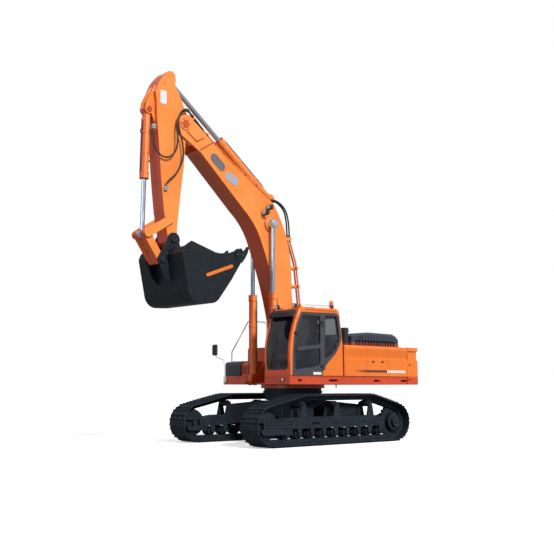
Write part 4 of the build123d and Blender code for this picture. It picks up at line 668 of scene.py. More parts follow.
def hood_sill(paint, colour, x, z):
    """Red-brown sill round the foot of the hood."""
    foot = corners("engine_hood")[0].z
    return paint.mix(1.0 - z.ramp(foot + 0.128, foot + 0.134), colour, (0.230, 0.045, 0.022))


def recipes():
    """How each finish is made: its slot in the record, its maker and what the maker needs."""
    paint, _ = sizes()
    orange, deep, dust = tuple(paint.orange), tuple(paint.orange_deep), paint.dust
    yellower, yellower_deep = (0.86, 0.290, 0.062), (0.80, 0.215, 0.034)
    # painted shade: deeper reds for the faces that look ahead
    ahead, boom_front_shade_red = (0.62, 0.070, 0.014), (0.64, 0.075, 0.014)
    grey, steel, bare = tuple(paint.door_grey), tuple(paint.steel), tuple(paint.bare)
    grey_deep = tuple(c * 0.75 for c in grey)
    black = tuple(c * 0.55 for c in steel)
    return {
        # machine paints: light and deep colour, gloss, dust, mark, painted shade colour of faces that look
        # ahead
        "machine_orange": ("body_orange", machine_paint, orange, deep, 0.3, dust, None, ahead),
        "striped_orange": ("body_orange", machine_paint, orange, deep, 0.28, dust, side_stripe),
        "tail_orange_shaded_foot": ("body_orange", machine_paint, orange, deep, 0.3, dust, painted_shade_at_foot),
        "boom_orange": ("boom_orange", machine_paint, yellower, yellower_deep, 0.3, 0.18, None, boom_front_shade_red),
        # frame red is a deeper paint; on the decks and the boom's nose ribs it is also painted shade
        "frame_red": ("frame_orange", machine_paint, (0.60, 0.07, 0.014), (0.50, 0.05, 0.011), 0.34, 0.22),
        "door_paint": ("door_grey", machine_paint, grey, grey_deep, 0.35, dust),
        "hood_paint": (
            "hood_dark", machine_paint, (0.026, 0.036, 0.064), (0.020, 0.028, 0.052), 0.38, 0.2, hood_sill,
        ),
        "dark_paint": ("hood_dark", machine_paint, (0.018, 0.022, 0.030), (0.011, 0.014, 0.021), 0.4, 0.2),
        "white_paint": ("white_paint", machine_paint, (0.74, 0.75, 0.77), (0.66, 0.67, 0.70), 0.35, 0.2),
        "plate_grey": ("white_paint", machine_paint, (0.42, 0.42, 0.46), (0.36, 0.36, 0.40), 0.3, 0.15),
        "badge_grey": ("dark_plastic", machine_paint, (0.15, 0.15, 0.165), (0.12, 0.12, 0.135), 0.3, 0.1),
        # steels: dark and rubbed colour, roughness, metallic, dust
        "track_steel": ("track_steel", worn_steel, steel, bare, 0.5, 0.4, 0.22),
        "bucket_steel": ("bucket_black", worn_steel, black, bare, 0.42, 0.35, 0.12),
        "tooth_steel": (
            "track_steel", worn_steel, (0.008, 0.016, 0.024), (0.16, 0.18, 0.20), 0.4, 0.6, 0.15,
        ),
        "bolt_steel": ("track_steel", worn_steel, (0.05, 0.055, 0.06), (0.35, 0.36, 0.38), 0.35, 0.9, 0.2),
        "pipe_steel": ("track_steel", worn_steel, (0.03, 0.034, 0.04), (0.20, 0.21, 0.22), 0.35, 0.6, 0.15),
        "tread_grey": ("track_steel", worn_steel, (0.035, 0.037, 0.04), (0.22, 0.22, 0.23), 0.5, 0.4, 0.3),
        # the rest: colour first
        "rod_chrome": ("rod_chrome", hard_chrome, (0.62, 0.72, 0.86)),
        "glazing": ("glass", cab_glazing, (0.003, 0.007, 0.013), 0.62),
        "black_rubber": ("dark_plastic", rubber, (0.012, 0.013, 0.015)),
        "dark_plastic": ("dark_plastic", moulded_plastic, (0.012, 0.014, 0.018)),
        "seat_cloth": ("seat_fabric", woven_seat, (0.085, 0.088, 0.095)),
        "clear_lens": ("lamp", lamp_lens, (0.55, 0.60, 0.66), 0.2),
        "beacon_orange": ("beacon", lamp_lens, (0.85, 0.10, 0.012), 0.15),
        "tail_red": ("beacon", lamp_lens, (0.45, 0.010, 0.008), 0.05),
    }


def finish(name):
    """Each finish is made once and then shared."""
    if name not in MADE:
        _, maker, *details = recipes()[name]
        MADE[name] = maker(name, *details)
    return MADE[name]


NODE_FINISHES = {
    "track_steel": (
        "lower_frame slew_ring track_frame_left track_frame_right track_left track_right "
        "front_idlers drive_sprockets final_drives bottom_rollers carrier_rollers"
    ),
    # the decks take the deeper red as painted shade for their recessed skirt under the side panels
    "frame_red": "main_frame boom_brackets deck_left deck_right",
    "machine_orange": "house_bulkheads cab_shell top_cover valve_cover fuel_tank",
    "door_paint": "cab_window_frame door_hinges door_frame",
    "glazing": "cab_glass door_glass",
    "dark_plastic": (
        "control_console air_pre_cleaner cab_visor work_lamps mirror_head door_fittings boom_lamps"
    ),
    "striped_orange": "side_panel_left side_panel_right",
    "hood_paint": "engine_hood",
    "bolt_steel": "engine_block",
    "tail_orange_shaded_foot": "counterweight",
    "dark_paint": "tool_box",
    "beacon_orange": "beacon",
    "white_paint": "handrails mirror_post",
    "boom_orange": "boom boom_pipes arm boom_barrels arm_barrel bucket_barrel guide_links tipping_link",
    "rod_chrome": "boom_rods arm_rod bucket_rod",
    "bucket_steel": "bucket_shell",
    "tooth_steel": "bucket_teeth",
}


# ------------------------------------------------------------------ operators
class BuildStage(Operator):
    """Pale floor, soft studio light and the camera"""

    bl_idname = "excavator.stage"
    bl_label = "Stage"

    def execute(self, context):
        _, stage = sizes()
        scene = context.scene
        scene.view_settings.view_transform = "Standard"
        eye = bpy.data.cameras.new("eye")
        eye.lens = stage.lens
        eye.sensor_width = 36.0
        camera = bpy.data.objects.new("eye", eye)
        scene.collection.objects.link(camera)
        look = Vector(
            (
                -math.cos(stage.heading) * math.cos(stage.rise),
                -math.sin(stage.heading) * math.cos(stage.rise),
                math.sin(stage.rise),
            )
        )
        camera.rotation_mode = "QUATERNION"
        camera.rotation_quaternion = look.to_track_quat("-Z", "Y")
        camera.location = stage.eye
        scene.camera = camera

        shape = bmesh.new()
        bmesh.ops.create_grid(shape, x_segments=8, y_segments=8, size=60.0)
        mesh = bpy.data.meshes.new("floor")
        shape.to_mesh(mesh)
        shape.free()
        floor = bpy.data.objects.new("floor", mesh)
        floor.location = (0, 0, -0.002)
        scene.collection.objects.link(floor)
        pale = Finish("floor_pale")
        clouds = pale.noise(0.4, 2.0)
        seen = pale.node("ShaderNodeLightPath", None, None, "Is Camera Ray")
        shade = pale.mix(clouds, (0.86, 0.86, 0.87), (0.90, 0.90, 0.90))
        pale.set(Base_Color=pale.mix(seen, (0.20, 0.20, 0.21), shade), Roughness=0.92)
        glow = pale.mix(seen, (0.0, 0.0, 0.0), (1.0, 1.0, 1.0))
        pale.set(Emission_Color=glow, Emission_Strength=stage.floor_glow)
        mesh.materials.append(pale.material)
        self.light(scene, stage)
        return {"FINISHED"}

    def light(self, scene, stage):
        """Soft studio light from the left and above, against a white wall."""
        world = bpy.data.worlds.new("studio")
        scene.world = world
        world.use_nodes = True
        tree = world.node_tree
        tree.nodes.clear()
        output = tree.nodes.new("ShaderNodeOutputWorld")
        mix = tree.nodes.new("ShaderNodeMixShader")
        path = tree.nodes.new("ShaderNodeLightPath")
        wall = tree.nodes.new("ShaderNodeBackground")
        room = tree.nodes.new("ShaderNodeBackground")
        wall.inputs[0].default_value = (1.0, 1.0, 1.0, 1.0)
        room.inputs[0].default_value = (0.93, 0.96, 1.0, 1.0)
        room.inputs[1].default_value = stage.sky
        tree.links.new(path.outputs["Is Camera Ray"], mix.inputs[0])
        tree.links.new(room.outputs[0], mix.inputs[1])
        tree.links.new(wall.outputs[0], mix.inputs[2])
        tree.links.new(mix.outputs[0], output.inputs[0])
        for name, aim, strength, soft, colour in (
            ("key", (-0.16, -1.0, -0.62), stage.sun, 9.0, (1.0, 0.97, 0.92)),
            ("top", (0.1, -0.25, -1.0), stage.sun * 0.16, 30.0, (0.93, 0.96, 1.0)),
            ("front", (-1.0, -0.1, -0.2), stage.sun * 0.13, 30.0, (1.0, 0.98, 0.96)),
        ):
            lamp = bpy.data.lights.new(name, "SUN")
            lamp.energy = strength
            lamp.angle = math.radians(soft)
            lamp.color = colour
            holder = bpy.data.objects.new(name, lamp)
            holder.rotation_mode = "QUATERNION"
            holder.rotation_quaternion = Vector(aim).to_track_quat("-Z", "Y")
            scene.collection.objects.link(holder)


class PaintFrame(Operator):
    """Give each carried-over solid its finish"""

    bl_idname = "excavator.paint"
    bl_label = "Finishes"

    def execute(self, context):
        for name, nodes in NODE_FINISHES.items():
            for node in nodes.split():
                for place in frame["nodes"][node].material_slots:
                    place.material = finish(name)
        return {"FINISHED"}


class BoomTrim(Operator):
    """Nose ribs, blank plates and the caps of the boom's pins"""

    bl_idname = "excavator.boom_trim"
    bl_label = "Boom plates and ribs"

    plate_proud: FloatProperty(name="Plate", description="Thickness of the plates", default=0.006)
    rib_proud: FloatProperty(name="Rib", description="Height of the nose ribs", default=0.014)

    def execute(self, context):
        nose = PIVOT["arm_swing"]
        upper, lower, ribs, bolts = (bmesh.new() for _ in range(4))
        # runs of the ribs, back and down from the arm's pin
        rib_lines = (((0.070, 0.182), (0.342, 0.370), (0.556, 0.248)), ((0.874, 0.284), (0.462, 0.557)))
        for hand, side in both_hands(BOOM_SIDE):
            ends = thick(hand, side, 0.002, self.plate_proud)
            add_prism(upper, capsule((2.905, 7.085), (2.675, 6.905), 0.118), *ends)
            add_prism(lower, capsule((2.435, 6.690), (2.235, 6.605), 0.120), *ends)
            ends = thick(hand, side, 0.002, self.rib_proud)
            for run in rib_lines:
                line = [(nose.x - back, nose.z - down) for back, down in run]
                for start, end in zip(line, line[1:]):
                    add_prism(ribs, capsule(start, end, 0.016, 3), *ends)
            cap = side + hand * 0.025
            add_boss(ribs, (nose.x, cap, nose.z), hand, 0.016, 0.092, 28)
            bolt_circle(ribs, (nose.x, cap, nose.z), (0, hand, 0), 0.116, 6, 0.018)
            for x, z in ((2.84, 7.14), (2.73, 6.87), (2.44, 6.76), (2.24, 6.53)):
                add_bolt(bolts, (x, side + hand * self.plate_proud, z), (0, hand, 0), 0.010, 0.006)
        mesh_piece("boom_plate_upper", upper, "boom", "badge_grey", 0.002)
        mesh_piece("boom_plate_lower", lower, "boom", "plate_grey", 0.002)
        # the nose ribs are raised bars; their deeper red is painted shade for the thin shadow lines along
        # them
        mesh_piece("boom_nose_ribs", ribs, "boom", "frame_red", 0.004)
        mesh_piece("boom_bolts", bolts, "boom", "bolt_steel")
        return {"FINISHED"}


class BoomPlumbing(Operator):
    """Steel pipes along the boom's crest, their saddles and the hoses that feed them"""

    bl_idname = "excavator.boom_plumbing"
    bl_label = "Boom pipes and hoses"

    pipe: FloatProperty(name="Pipe", description="Radius of the crest pipes", default=0.019)
    hose: FloatProperty(name="Hose", description="Radius of the hoses", default=0.022)

    def execute(self, context):
        crest = ((0.985, 6.305), (1.300, 6.495), (2.450, 7.185), (2.985, 7.565), (3.220, 7.745))
        tracks = (-0.235, -0.165, 0.165, 0.235)
        lines = [[(x, y, z) for x, z in crest] for y in tracks]
        curve_piece("boom_crest_pipes", lines, self.pipe, "boom", "boom_orange")
        saddles, bolts = bmesh.new(), bmesh.new()
        for start, end in zip(crest[1:], crest[2:]):
            lean = math.atan2(end[1] - start[1], end[0] - start[0])
            count = max(1, round(math.dist(start, end) / 0.42))
            for i in range(count):
                share = (i + 0.5) / count
                x = start[0] + (end[0] - start[0]) * share
                z = start[1] + (end[1] - start[1]) * share
                for low, high in ((-0.268, -0.135), (0.135, 0.268)):
                    add_prism(saddles, tilted((x, z), 0.028, 0.030, lean), low, high)
                    over = (x - 0.030 * math.sin(lean), (low + high) / 2, z + 0.030 * math.cos(lean))
                    add_bolt(bolts, over, (-math.sin(lean), 0, math.cos(lean)), 0.016, 0.014)
        mesh_piece("boom_pipe_saddles", saddles, "boom", "frame_red", 0.004)

        block = corners("boom_pipes")[1]
        hoses, sleeves = [], bmesh.new()
        for y, feed in zip(tracks, (-0.200, -0.110, 0.110, 0.200)):
            rise = [(0.300, feed, block.z - 0.010), (0.312, feed, 5.620), (0.370, (y + feed) / 2, 5.880)]
            over = [(0.470, y, 6.085), (0.640, y, 6.235), (0.820, y, 6.300), (0.985, y, 6.305)]
            hoses.append(rise + over)
            add_bar(sleeves, (0.300, feed, block.z - 0.002), (0.303, feed, block.z + 0.075), 0.029, 12)
            add_bar(sleeves, (0.985, y, 6.305), (0.915, y, 6.303), 0.028, 12)
            add_bar(sleeves, (1.000, y, 6.314), (0.980, y, 6.302), 0.034, 6)
        curve_piece("boom_back_hoses", hoses, self.hose, "boom", "black_rubber")
        mesh_piece("boom_hose_ends", sleeves, "boom", "bolt_steel", 0.002)
        mesh_piece("boom_saddle_bolts", bolts, "boom", "bolt_steel")
        return {"FINISHED"}


# centre lines of the left-hand hoses, from the crest pipes over the boom's nose to the arm
HOSE_LOOPS = {
    "long": (
        (3.220, 0.235, 7.745), (3.400, 0.240, 7.895), (3.560, 0.262, 8.010), (3.740, 0.315, 8.105),
        (3.930, 0.335, 8.060), (4.050, 0.335, 7.880), (4.022, 0.335, 7.570), (3.905, 0.335, 7.260),
        (3.868, 0.335, 6.905), (4.031, 0.300, 6.506), (4.250, 0.262, 6.300), (4.318, 0.258, 6.205),
    ),
    "short": (
        (3.220, 0.165, 7.745), (3.400, 0.175, 7.905), (3.560, 0.200, 8.030), (3.760, 0.330, 8.160),
        (3.990, 0.382, 8.060), (4.105, 0.385, 7.780), (4.072, 0.370, 7.139), (4.184, 0.340, 6.921),
        (4.365, 0.310, 6.817), (4.584, 0.280, 6.898), (4.700, 0.262, 7.139), (4.690, 0.258, 7.420),
    ),
}


class ArmHoses(Operator):
    """Hoses held at the boom's nose and at the arm, over the arm's pin, in their rest shape"""

    bl_idname = "excavator.arm_hoses"
    bl_label = "Hoses over the arm's pin"

    hose: FloatProperty(name="Hose", description="Radius of the hoses", default=0.021)

    def execute(self, context):
        ends = bmesh.new()
        for tag, hand in (("left", 1), ("right", -1)):
            for name, loop in HOSE_LOOPS.items():
                line = [(x, hand * y, z) for x, y, z in loop]
                piece = hose_piece(f"{name}_hose_{tag}", line, self.hose, "black_rubber")
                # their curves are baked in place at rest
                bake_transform(piece)
            add_bar(ends, (4.318, hand * 0.258, 6.215), (4.322, hand * 0.258, 6.130), 0.028, 12)
            add_bar(ends, (4.690, hand * 0.258, 7.410), (4.688, hand * 0.258, 7.500), 0.028, 12)
        mesh_piece("arm_hose_ends", ends, "arm", "bolt_steel", 0.002)
        return {"FINISHED"}


class ArmTrim(Operator):
    """Blank side plates, hose blocks and pin caps of the arm"""

    bl_idname = "excavator.arm_trim"
    bl_label = "Arm fittings"

    def execute(self, context):
        plates, blocks, bolts, caps = (bmesh.new() for _ in range(4))
        top = PIVOT["bucket_cylinder_swing"]
        for hand, side in both_hands(ARM_SIDE):
            ends = thick(hand, side, 0.002, 0.006)
            add_prism(plates, rounded((4.318, 8.165), (4.498, 8.500), 0.030), *ends)
            ends = thick(hand, side, 0.002, 0.060)
            add_prism(blocks, rounded((4.270, 6.055), (4.370, 6.150), 0.015), *ends)
            add_prism(blocks, rounded((4.640, 7.490), (4.735, 7.600), 0.015), *ends)
            for x, z in ((4.292, 6.102), (4.348, 6.102), (4.664, 7.545), (4.712, 7.545)):
                add_bolt(bolts, (x, side + hand * 0.060, z), (0, hand, 0), 0.016, 0.012)
            foot = hand * ARM_LUG
            add_boss(caps, (top.x, foot, top.z), hand, 0.022, 0.070, 24)
            bolt_circle(bolts, (top.x, foot + hand * 0.022, top.z), (0, hand, 0), 0.045, 3, 0.014, 0.010)
        mesh_piece("arm_plates", plates, "arm", "white_paint", 0.002)
        mesh_piece("arm_hose_blocks", blocks, "arm", "plate_grey", 0.004)
        mesh_piece("arm_bolts", bolts, "arm", "bolt_steel")
        mesh_piece("arm_pin_caps", caps, "arm", "frame_red", 0.003)
        return {"FINISHED"}


def along(start, end, distance, ahead=0.0):
    """Place this far from start towards end in side view, moved ahead square to the line."""
    line = Vector((end[0] - start[0], 0.0, end[1] - start[1])).normalized()
    square = Vector((-line.z, 0.0, line.x))
    return Vector((start[0], 0.0, start[1])) + line * distance + square * ahead, line


class CylinderTrim(Operator):
    """Gland bolts, bands, ports and feed pipes on the hydraulic cylinders"""

    bl_idname = "excavator.cylinder_trim"
    bl_label = "Cylinder fittings"

    def execute(self, context):
        boom_foot, boom_top = PIVOT["boom_cylinder_swing"], middle("boom_rods")
        arm_foot, arm_top = PIVOT["arm_cylinder_swing"], corners("arm_rod")[1]
        bucket_top, link = PIVOT["bucket_cylinder_swing"], corners("bucket_rod")
        # name, body, places across the machine, start, end, distance of the gland's face,
        # radius of barrel and rod, and how far from the barrel's middle its pipe runs
        cylinders = (
            ("boom", "boom_cylinder_barrels", (0.405, -0.405), (boom_foot.x, boom_foot.z),
             (boom_top.x, corners("boom_rods")[1].z - 0.130), 2.215, 0.100, 0.058, 0.135),
            ("arm", "arm_cylinder_barrel", (0.0,), (arm_foot.x, arm_foot.z),
             (arm_top.x - 0.120, arm_top.z - 0.120), 2.115, 0.115, 0.060, 0.150),
            ("bucket", "bucket_cylinder_barrel", (0.0,), (bucket_top.x, bucket_top.z),
             (link[1].x - 0.100, link[0].z + 0.100), 1.690, 0.098, 0.055, 0.116),
        )
        for name, body, lines, start, end, gland, barrel, rod, offset in cylinders:
            bands, bolts, pipes = bmesh.new(), bmesh.new(), []
            for y in lines:
                shift = Vector((0.0, y, 0.0))

                def at(distance, ahead=0.0):
                    return along(start, end, distance, ahead)[0] + shift

                face, line = at(gland), along(start, end, gland)[1]
                bolt_ring = (barrel + 0.012 + rod) / 2
                bolt_circle(bolts, face - line * 0.001, line, bolt_ring, 10, 0.019, 0.016)
                # rims of the gland, the band behind it and the wiper round the rod
                add_ring(bands, face - line * 0.012, line, barrel + 0.018, barrel + 0.004, 0.012, 36)
                add_ring(bands, face - line * 0.150, line, barrel + 0.018, barrel - 0.002, 0.020, 36)
                add_ring(bands, face, line, rod + 0.018, rod + 0.003, 0.014, 28)
                for clip in (gland * 0.32, gland * 0.62):
                    add_ring(bands, at(clip), line, barrel + 0.009, barrel - 0.002, 0.045, 36)
                    add_bar(bands, at(clip + 0.022, barrel), at(clip + 0.022, offset), 0.016, 10)
                foot, head = gland * 0.17, gland - 0.130
                low_port, high_port = foot - 0.030, gland - 0.100
                run = (at(low_port, barrel - 0.01), at(foot, offset), at(head, offset))
                run += (at(high_port, barrel - 0.005),)
                pipes.append(bent([tuple(v) for v in run], 0.05))
                for port in (high_port, low_port):
                    add_bar(bands, at(port, barrel - 0.010), at(port, barrel + 0.020), 0.036, 14)
            mesh_piece(f"{name}_cylinder_bands", bands, body, "boom_orange", 0.002)
            mesh_piece(f"{name}_cylinder_bolts", bolts, body, "bolt_steel")
            curve_piece(f"{name}_cylinder_pipes", pipes, 0.016, body, "pipe_steel")
        caps = bmesh.new()
        for hand, side in both_hands(0.475):
            eye = (boom_top.x, side, corners("boom_rods")[1].z - 0.130)
            add_boss(caps, eye, hand, 0.030, 0.072, 28)
            add_boss(caps, eye, hand, 0.014, 0.105, 28)
        mesh_piece("boom_rod_pin_caps", caps, "boom_cylinder_rods", "plate_grey", 0.003)
        return {"FINISHED"}


class BucketTrim(Operator):
    """Cutter bolts, tooth pins, pin caps and the blank side bar of the bucket"""

    bl_idname = "excavator.bucket_trim"
    bl_label = "Bucket fittings"

    def execute(self, context):
        high = corners("bucket_shell")[1]
        bolts, bars, caps = (bmesh.new() for _ in range(3))
        for hand, side in both_hands(high.y):
            for x, z in ((2.501, 4.585), (2.581, 4.615), (2.661, 4.590), (2.536, 4.470), (2.616, 4.480)):
                add_bolt(bolts, (x, side, z), (0, hand, 0), 0.026, 0.018)
            shell = side - hand * 0.018
            ends = thick(hand, shell, 0.002, 0.006)
            add_prism(bars, capsule((2.840, 4.300), (3.560, 4.030), 0.040), *ends)
            for name in ("bucket_curl", "tipping_link_swing"):
                pin = PIVOT[name]
                add_boss(caps, (pin.x, hand * PIN_END, pin.z), hand, 0.016, 0.080, 24)
                cover = (pin.x, hand * (PIN_END + 0.016), pin.z)
                bolt_circle(caps, cover, (0, hand, 0), 0.052, 4, 0.016, 0.010)
        # retaining pins through the teeth
        for i in range(5):
            y = (high.y - 0.110) * (i / 2 - 1)
            for way in (-1, 1):
                foot = y + way * 0.051
                add_boss(bolts, (2.405, foot, 4.655), way, 0.006, 0.014, 12)
        mesh_piece("bucket_cutter_bolts", bolts, "bucket", "bolt_steel")
        mesh_piece("bucket_side_bars", bars, "bucket", "machine_orange", 0.002)
        mesh_piece("bucket_pin_caps", caps, "bucket", "track_steel", 0.003)
        return {"FINISHED"}


# ------------------------------------------------------------------ track loop
LINK_HALF = 0.060
SHOE_PLATE = 0.014
GROUSER = 0.036
SHOE_PITCH = 0.216
RAIL_OFFSET = 0.080
RAIL_HALF = 0.025
# from a box's ends to the wheels' centres, and from a track's middle to its frame's side faces
CARRIER_FOOT = 0.125
CARRIER_RADIUS = 0.080
ROLLER_RADIUS = 0.128
ROLLER_SPAN = 0.560
FRAME_HALF = 0.196
YOKE_HALF = 0.190
DRIVE_COVER = 0.170
DRIVE_CROWN = 0.250
SPROCKET_FACE = 0.042


def track_joints():
    """Where each shoe of a track meets the next, in side view, on the line through the link pins."""
    idlers, drives = corners("front_idlers"), corners("drive_sprockets")
    carriers = corners("carrier_rollers")
    axle = (drives[0].z + drives[1].z) / 2
    wheel = axle - LINK_HALF - SHOE_PLATE - GROUSER
    carrier_z = carriers[1].z - CARRIER_RADIUS
    around = CARRIER_RADIUS + 0.012 + LINK_HALF
    wheels = (
        ((idlers[0].x + idlers[1].x) / 2, axle, wheel),
        (carriers[1].x - CARRIER_FOOT, carrier_z, around),
        (carriers[0].x + CARRIER_FOOT, carrier_z, around),
        ((drives[0].x + drives[1].x) / 2, axle, wheel),
    )
    facing = []
    for (x0, z0, r0), (x1, z1, r1) in zip(wheels, wheels[1:] + wheels[:1]):
        facing.append(math.atan2(z1 - z0, x1 - x0) - math.acos((r0 - r1) / math.dist((x0, z0), (x1, z1))))
    line = []
    for i, (x, z, r) in enumerate(wheels):
        turn = (facing[i] - facing[i - 1]) % (2 * math.pi)
        steps = max(2, round(r * turn / 0.02))
        for k in range(steps + 1):
            t = facing[i - 1] + turn * k / steps
            line.append((x + r * math.cos(t), z + r * math.sin(t)))
    line.append(line[0])
    runs = [math.dist(a, b) for a, b in zip(line, line[1:])]
    total = sum(runs)
    count = round(total / SHOE_PITCH)
    joints, index, passed = [], 0, 0.0
    for i in range(count):
        goal = total * i / count
        while passed + runs[index] < goal:
            passed += runs[index]
            index += 1
        share = (goal - passed) / runs[index]
        (x0, z0), (x1, z1) = line[index], line[index + 1]
        joints.append((x0 + (x1 - x0) * share, z0 + (z1 - z0) * share))
    return joints


class TrackTrim(Operator):
    """Shoe bolts, link pins and the caps of the rollers, idlers and drives"""

    bl_idname = "excavator.track_trim"
    bl_label = "Track fittings"

    bolt: FloatProperty(name="Shoe bolt", description="Size of a shoe bolt", default=0.022)

    def execute(self, context):
        joints = track_joints()
        idlers, drives = middle("front_idlers"), middle("drive_sprockets")
        rollers = corners("bottom_rollers")
        roller_z = rollers[0].z + ROLLER_RADIUS
        span = (idlers.x - ROLLER_SPAN) - (drives.x + ROLLER_SPAN)
        for tag, hand in (("left", 1), ("right", -1)):
            track = middle(f"track_{tag}").y
            shoes, pins, caps, bolts = (bmesh.new() for _ in range(4))
            for start, end in zip(joints, joints[1:] + joints[:1]):
                length = math.dist(start, end)
                ahead = Vector((end[0] - start[0], 0.0, end[1] - start[1])) / length
                out = Vector((ahead.z, 0.0, -ahead.x))
                for share in (0.36, 0.56):
                    for across in (-RAIL_OFFSET, RAIL_OFFSET):
                        seat = Vector((start[0], track + across, start[1])) + ahead * length * share
                        seat += out * (LINK_HALF + SHOE_PLATE - 0.001)
                        add_bolt(shoes, seat, out, self.bolt, 0.016)
                for across in (-RAIL_OFFSET - RAIL_HALF, RAIL_OFFSET + RAIL_HALF):
                    foot = Vector((start[0], track + across, start[1]))
                    way = Vector((0.0, math.copysign(1.0, across), 0.0))
                    add_bar(pins, foot - way * 0.002, foot + way * 0.010, 0.024, 14)
                    add_bar(pins, foot + way * 0.010, foot + way * 0.014, 0.012, 10)
            mesh_piece(f"shoe_bolts_{tag}", shoes, "undercarriage", "bolt_steel")
            mesh_piece(f"link_pins_{tag}", pins, "undercarriage", "tooth_steel", 0.001)
            for i in range(9):
                x = drives.x + ROLLER_SPAN + span * i / 8
                for way in (-1, 1):
                    face = track + way * FRAME_HALF
                    add_boss(caps, (x, face, roller_z), way, 0.018, 0.040, 20)
                    add_boss(caps, (x, face + way * 0.018, roller_z), way, 0.008, 0.014, 6)
                    for dx in (-0.042, 0.042):
                        add_bolt(bolts, (x + dx, face, roller_z + 0.085), (0, way, 0), 0.018, 0.014)
            rear, front = corners("carrier_rollers")
            for x in (front.x - CARRIER_FOOT, 0.0, rear.x + CARRIER_FOOT):
                z = front.z - CARRIER_RADIUS
                face = track + hand * FRAME_HALF
                add_boss(caps, (x, face, z), hand, 0.014, 0.036, 20)
                bolt_circle(bolts, (x, face + hand * 0.014, z), (0, hand, 0), 0.022, 3, 0.010, 0.008)
                for dx in (-0.080, 0.080):
                    add_bolt(bolts, (x + dx, face, 0.735), (0, hand, 0), 0.018, 0.014)
            # idler axle block in the yoke's slot
            x, z, out = idlers.x, idlers.z, (0, hand, 0)
            block = rounded((x - 0.105, z - 0.068), (x + 0.105, z + 0.068), 0.012)
            add_prism(caps, block, *thick(hand, track + hand * YOKE_HALF, 0.0, 0.030))
            for dx in (-0.078, 0.078):
                for dz in (-0.044, 0.044):
                    add_bolt(bolts, (x + dx, track + hand * (YOKE_HALF + 0.030), z + dz), out, 0.018, 0.014)
            # drive cover, its cap and the sprocket's bolts
            drive = middle("final_drives")
            cover = (drive.x, track + hand * DRIVE_COVER, drive.z)
            crown = (drive.x, track + hand * DRIVE_CROWN, drive.z)
            bolt_circle(bolts, cover, out, 0.185, 14, 0.020, 0.016)
            bolt_circle(bolts, crown, out, 0.095, 6, 0.018, 0.014)
            add_ring(caps, cover, out, 0.222, 0.206, 0.010, 48)
            add_boss(caps, crown, hand, 0.012, 0.034, 6)
            sprocket = (drives.x, track + hand * SPROCKET_FACE, drives.z)
            bolt_circle(bolts, sprocket, out, 0.262, 18, 0.024, 0.018)
            mesh_piece(f"wheel_caps_{tag}", caps, "undercarriage", "track_steel", 0.003)
            mesh_piece(f"wheel_bolts_{tag}", bolts, "undercarriage", "bolt_steel")
        return {"FINISHED"}


class FrameTrim(Operator):
    """Guard plates and their bolts, the foot step, and the turntable's seal and bolts"""

    bl_idname = "excavator.frame_trim"
    bl_label = "Undercarriage fittings"

    def execute(self, context):
        guards, bolts = bmesh.new(), bmesh.new()
        for hand, side in both_hands(middle("track_left").y + 0.200):
            for x in (-0.95, 0.05):
                ends = thick(hand, side, 0.001, 0.016)
                add_prism(guards, rounded((x - 0.16, 0.545), (x + 0.16, 0.655), 0.020), *ends)
                for dx in (-0.13, 0.13):
                    add_bolt(bolts, (x + dx, side + hand * 0.016, 0.600), (0, hand, 0), 0.020, 0.015)
            for x in (-1.45, -0.45, 0.55):
                ends = thick(hand, side, 0.001, 0.010)
                add_prism(guards, rectangle((x - 0.012, 0.425), (x + 0.012, 0.685)), *ends)
            # foot step with five bars across its tread
            ends = thick(hand, side, 0.001, 0.070)
            add_prism(guards, rectangle((0.62, 0.560), (0.86, 0.575)), *ends)
            for i in range(5):
                x = 0.65 + 0.045 * i
                add_box(guards, (x - 0.008, ends[0], 0.574), (x + 0.008, ends[1], 0.584))
        mesh_piece("frame_guards", guards, "undercarriage", "track_steel", 0.003)
        low, high = corners("slew_ring")
        ring = bmesh.new()
        add_ring(ring, (0, 0, low.z + 0.028), (0, 0, 1), 0.792, high.x - 0.004, 0.030, 72)
        for i in range(36):
            t = 2 * math.pi * i / 36
            seat = (0.776 * math.cos(t), 0.776 * math.sin(t), low.z + 0.058)
            add_bolt(bolts, seat, (0, 0, 1), 0.018, 0.016)
        mesh_piece("turntable_seal", ring, "undercarriage", "track_steel", 0.004)
        mesh_piece("frame_bolts", bolts, "undercarriage", "bolt_steel")
        return {"FINISHED"}


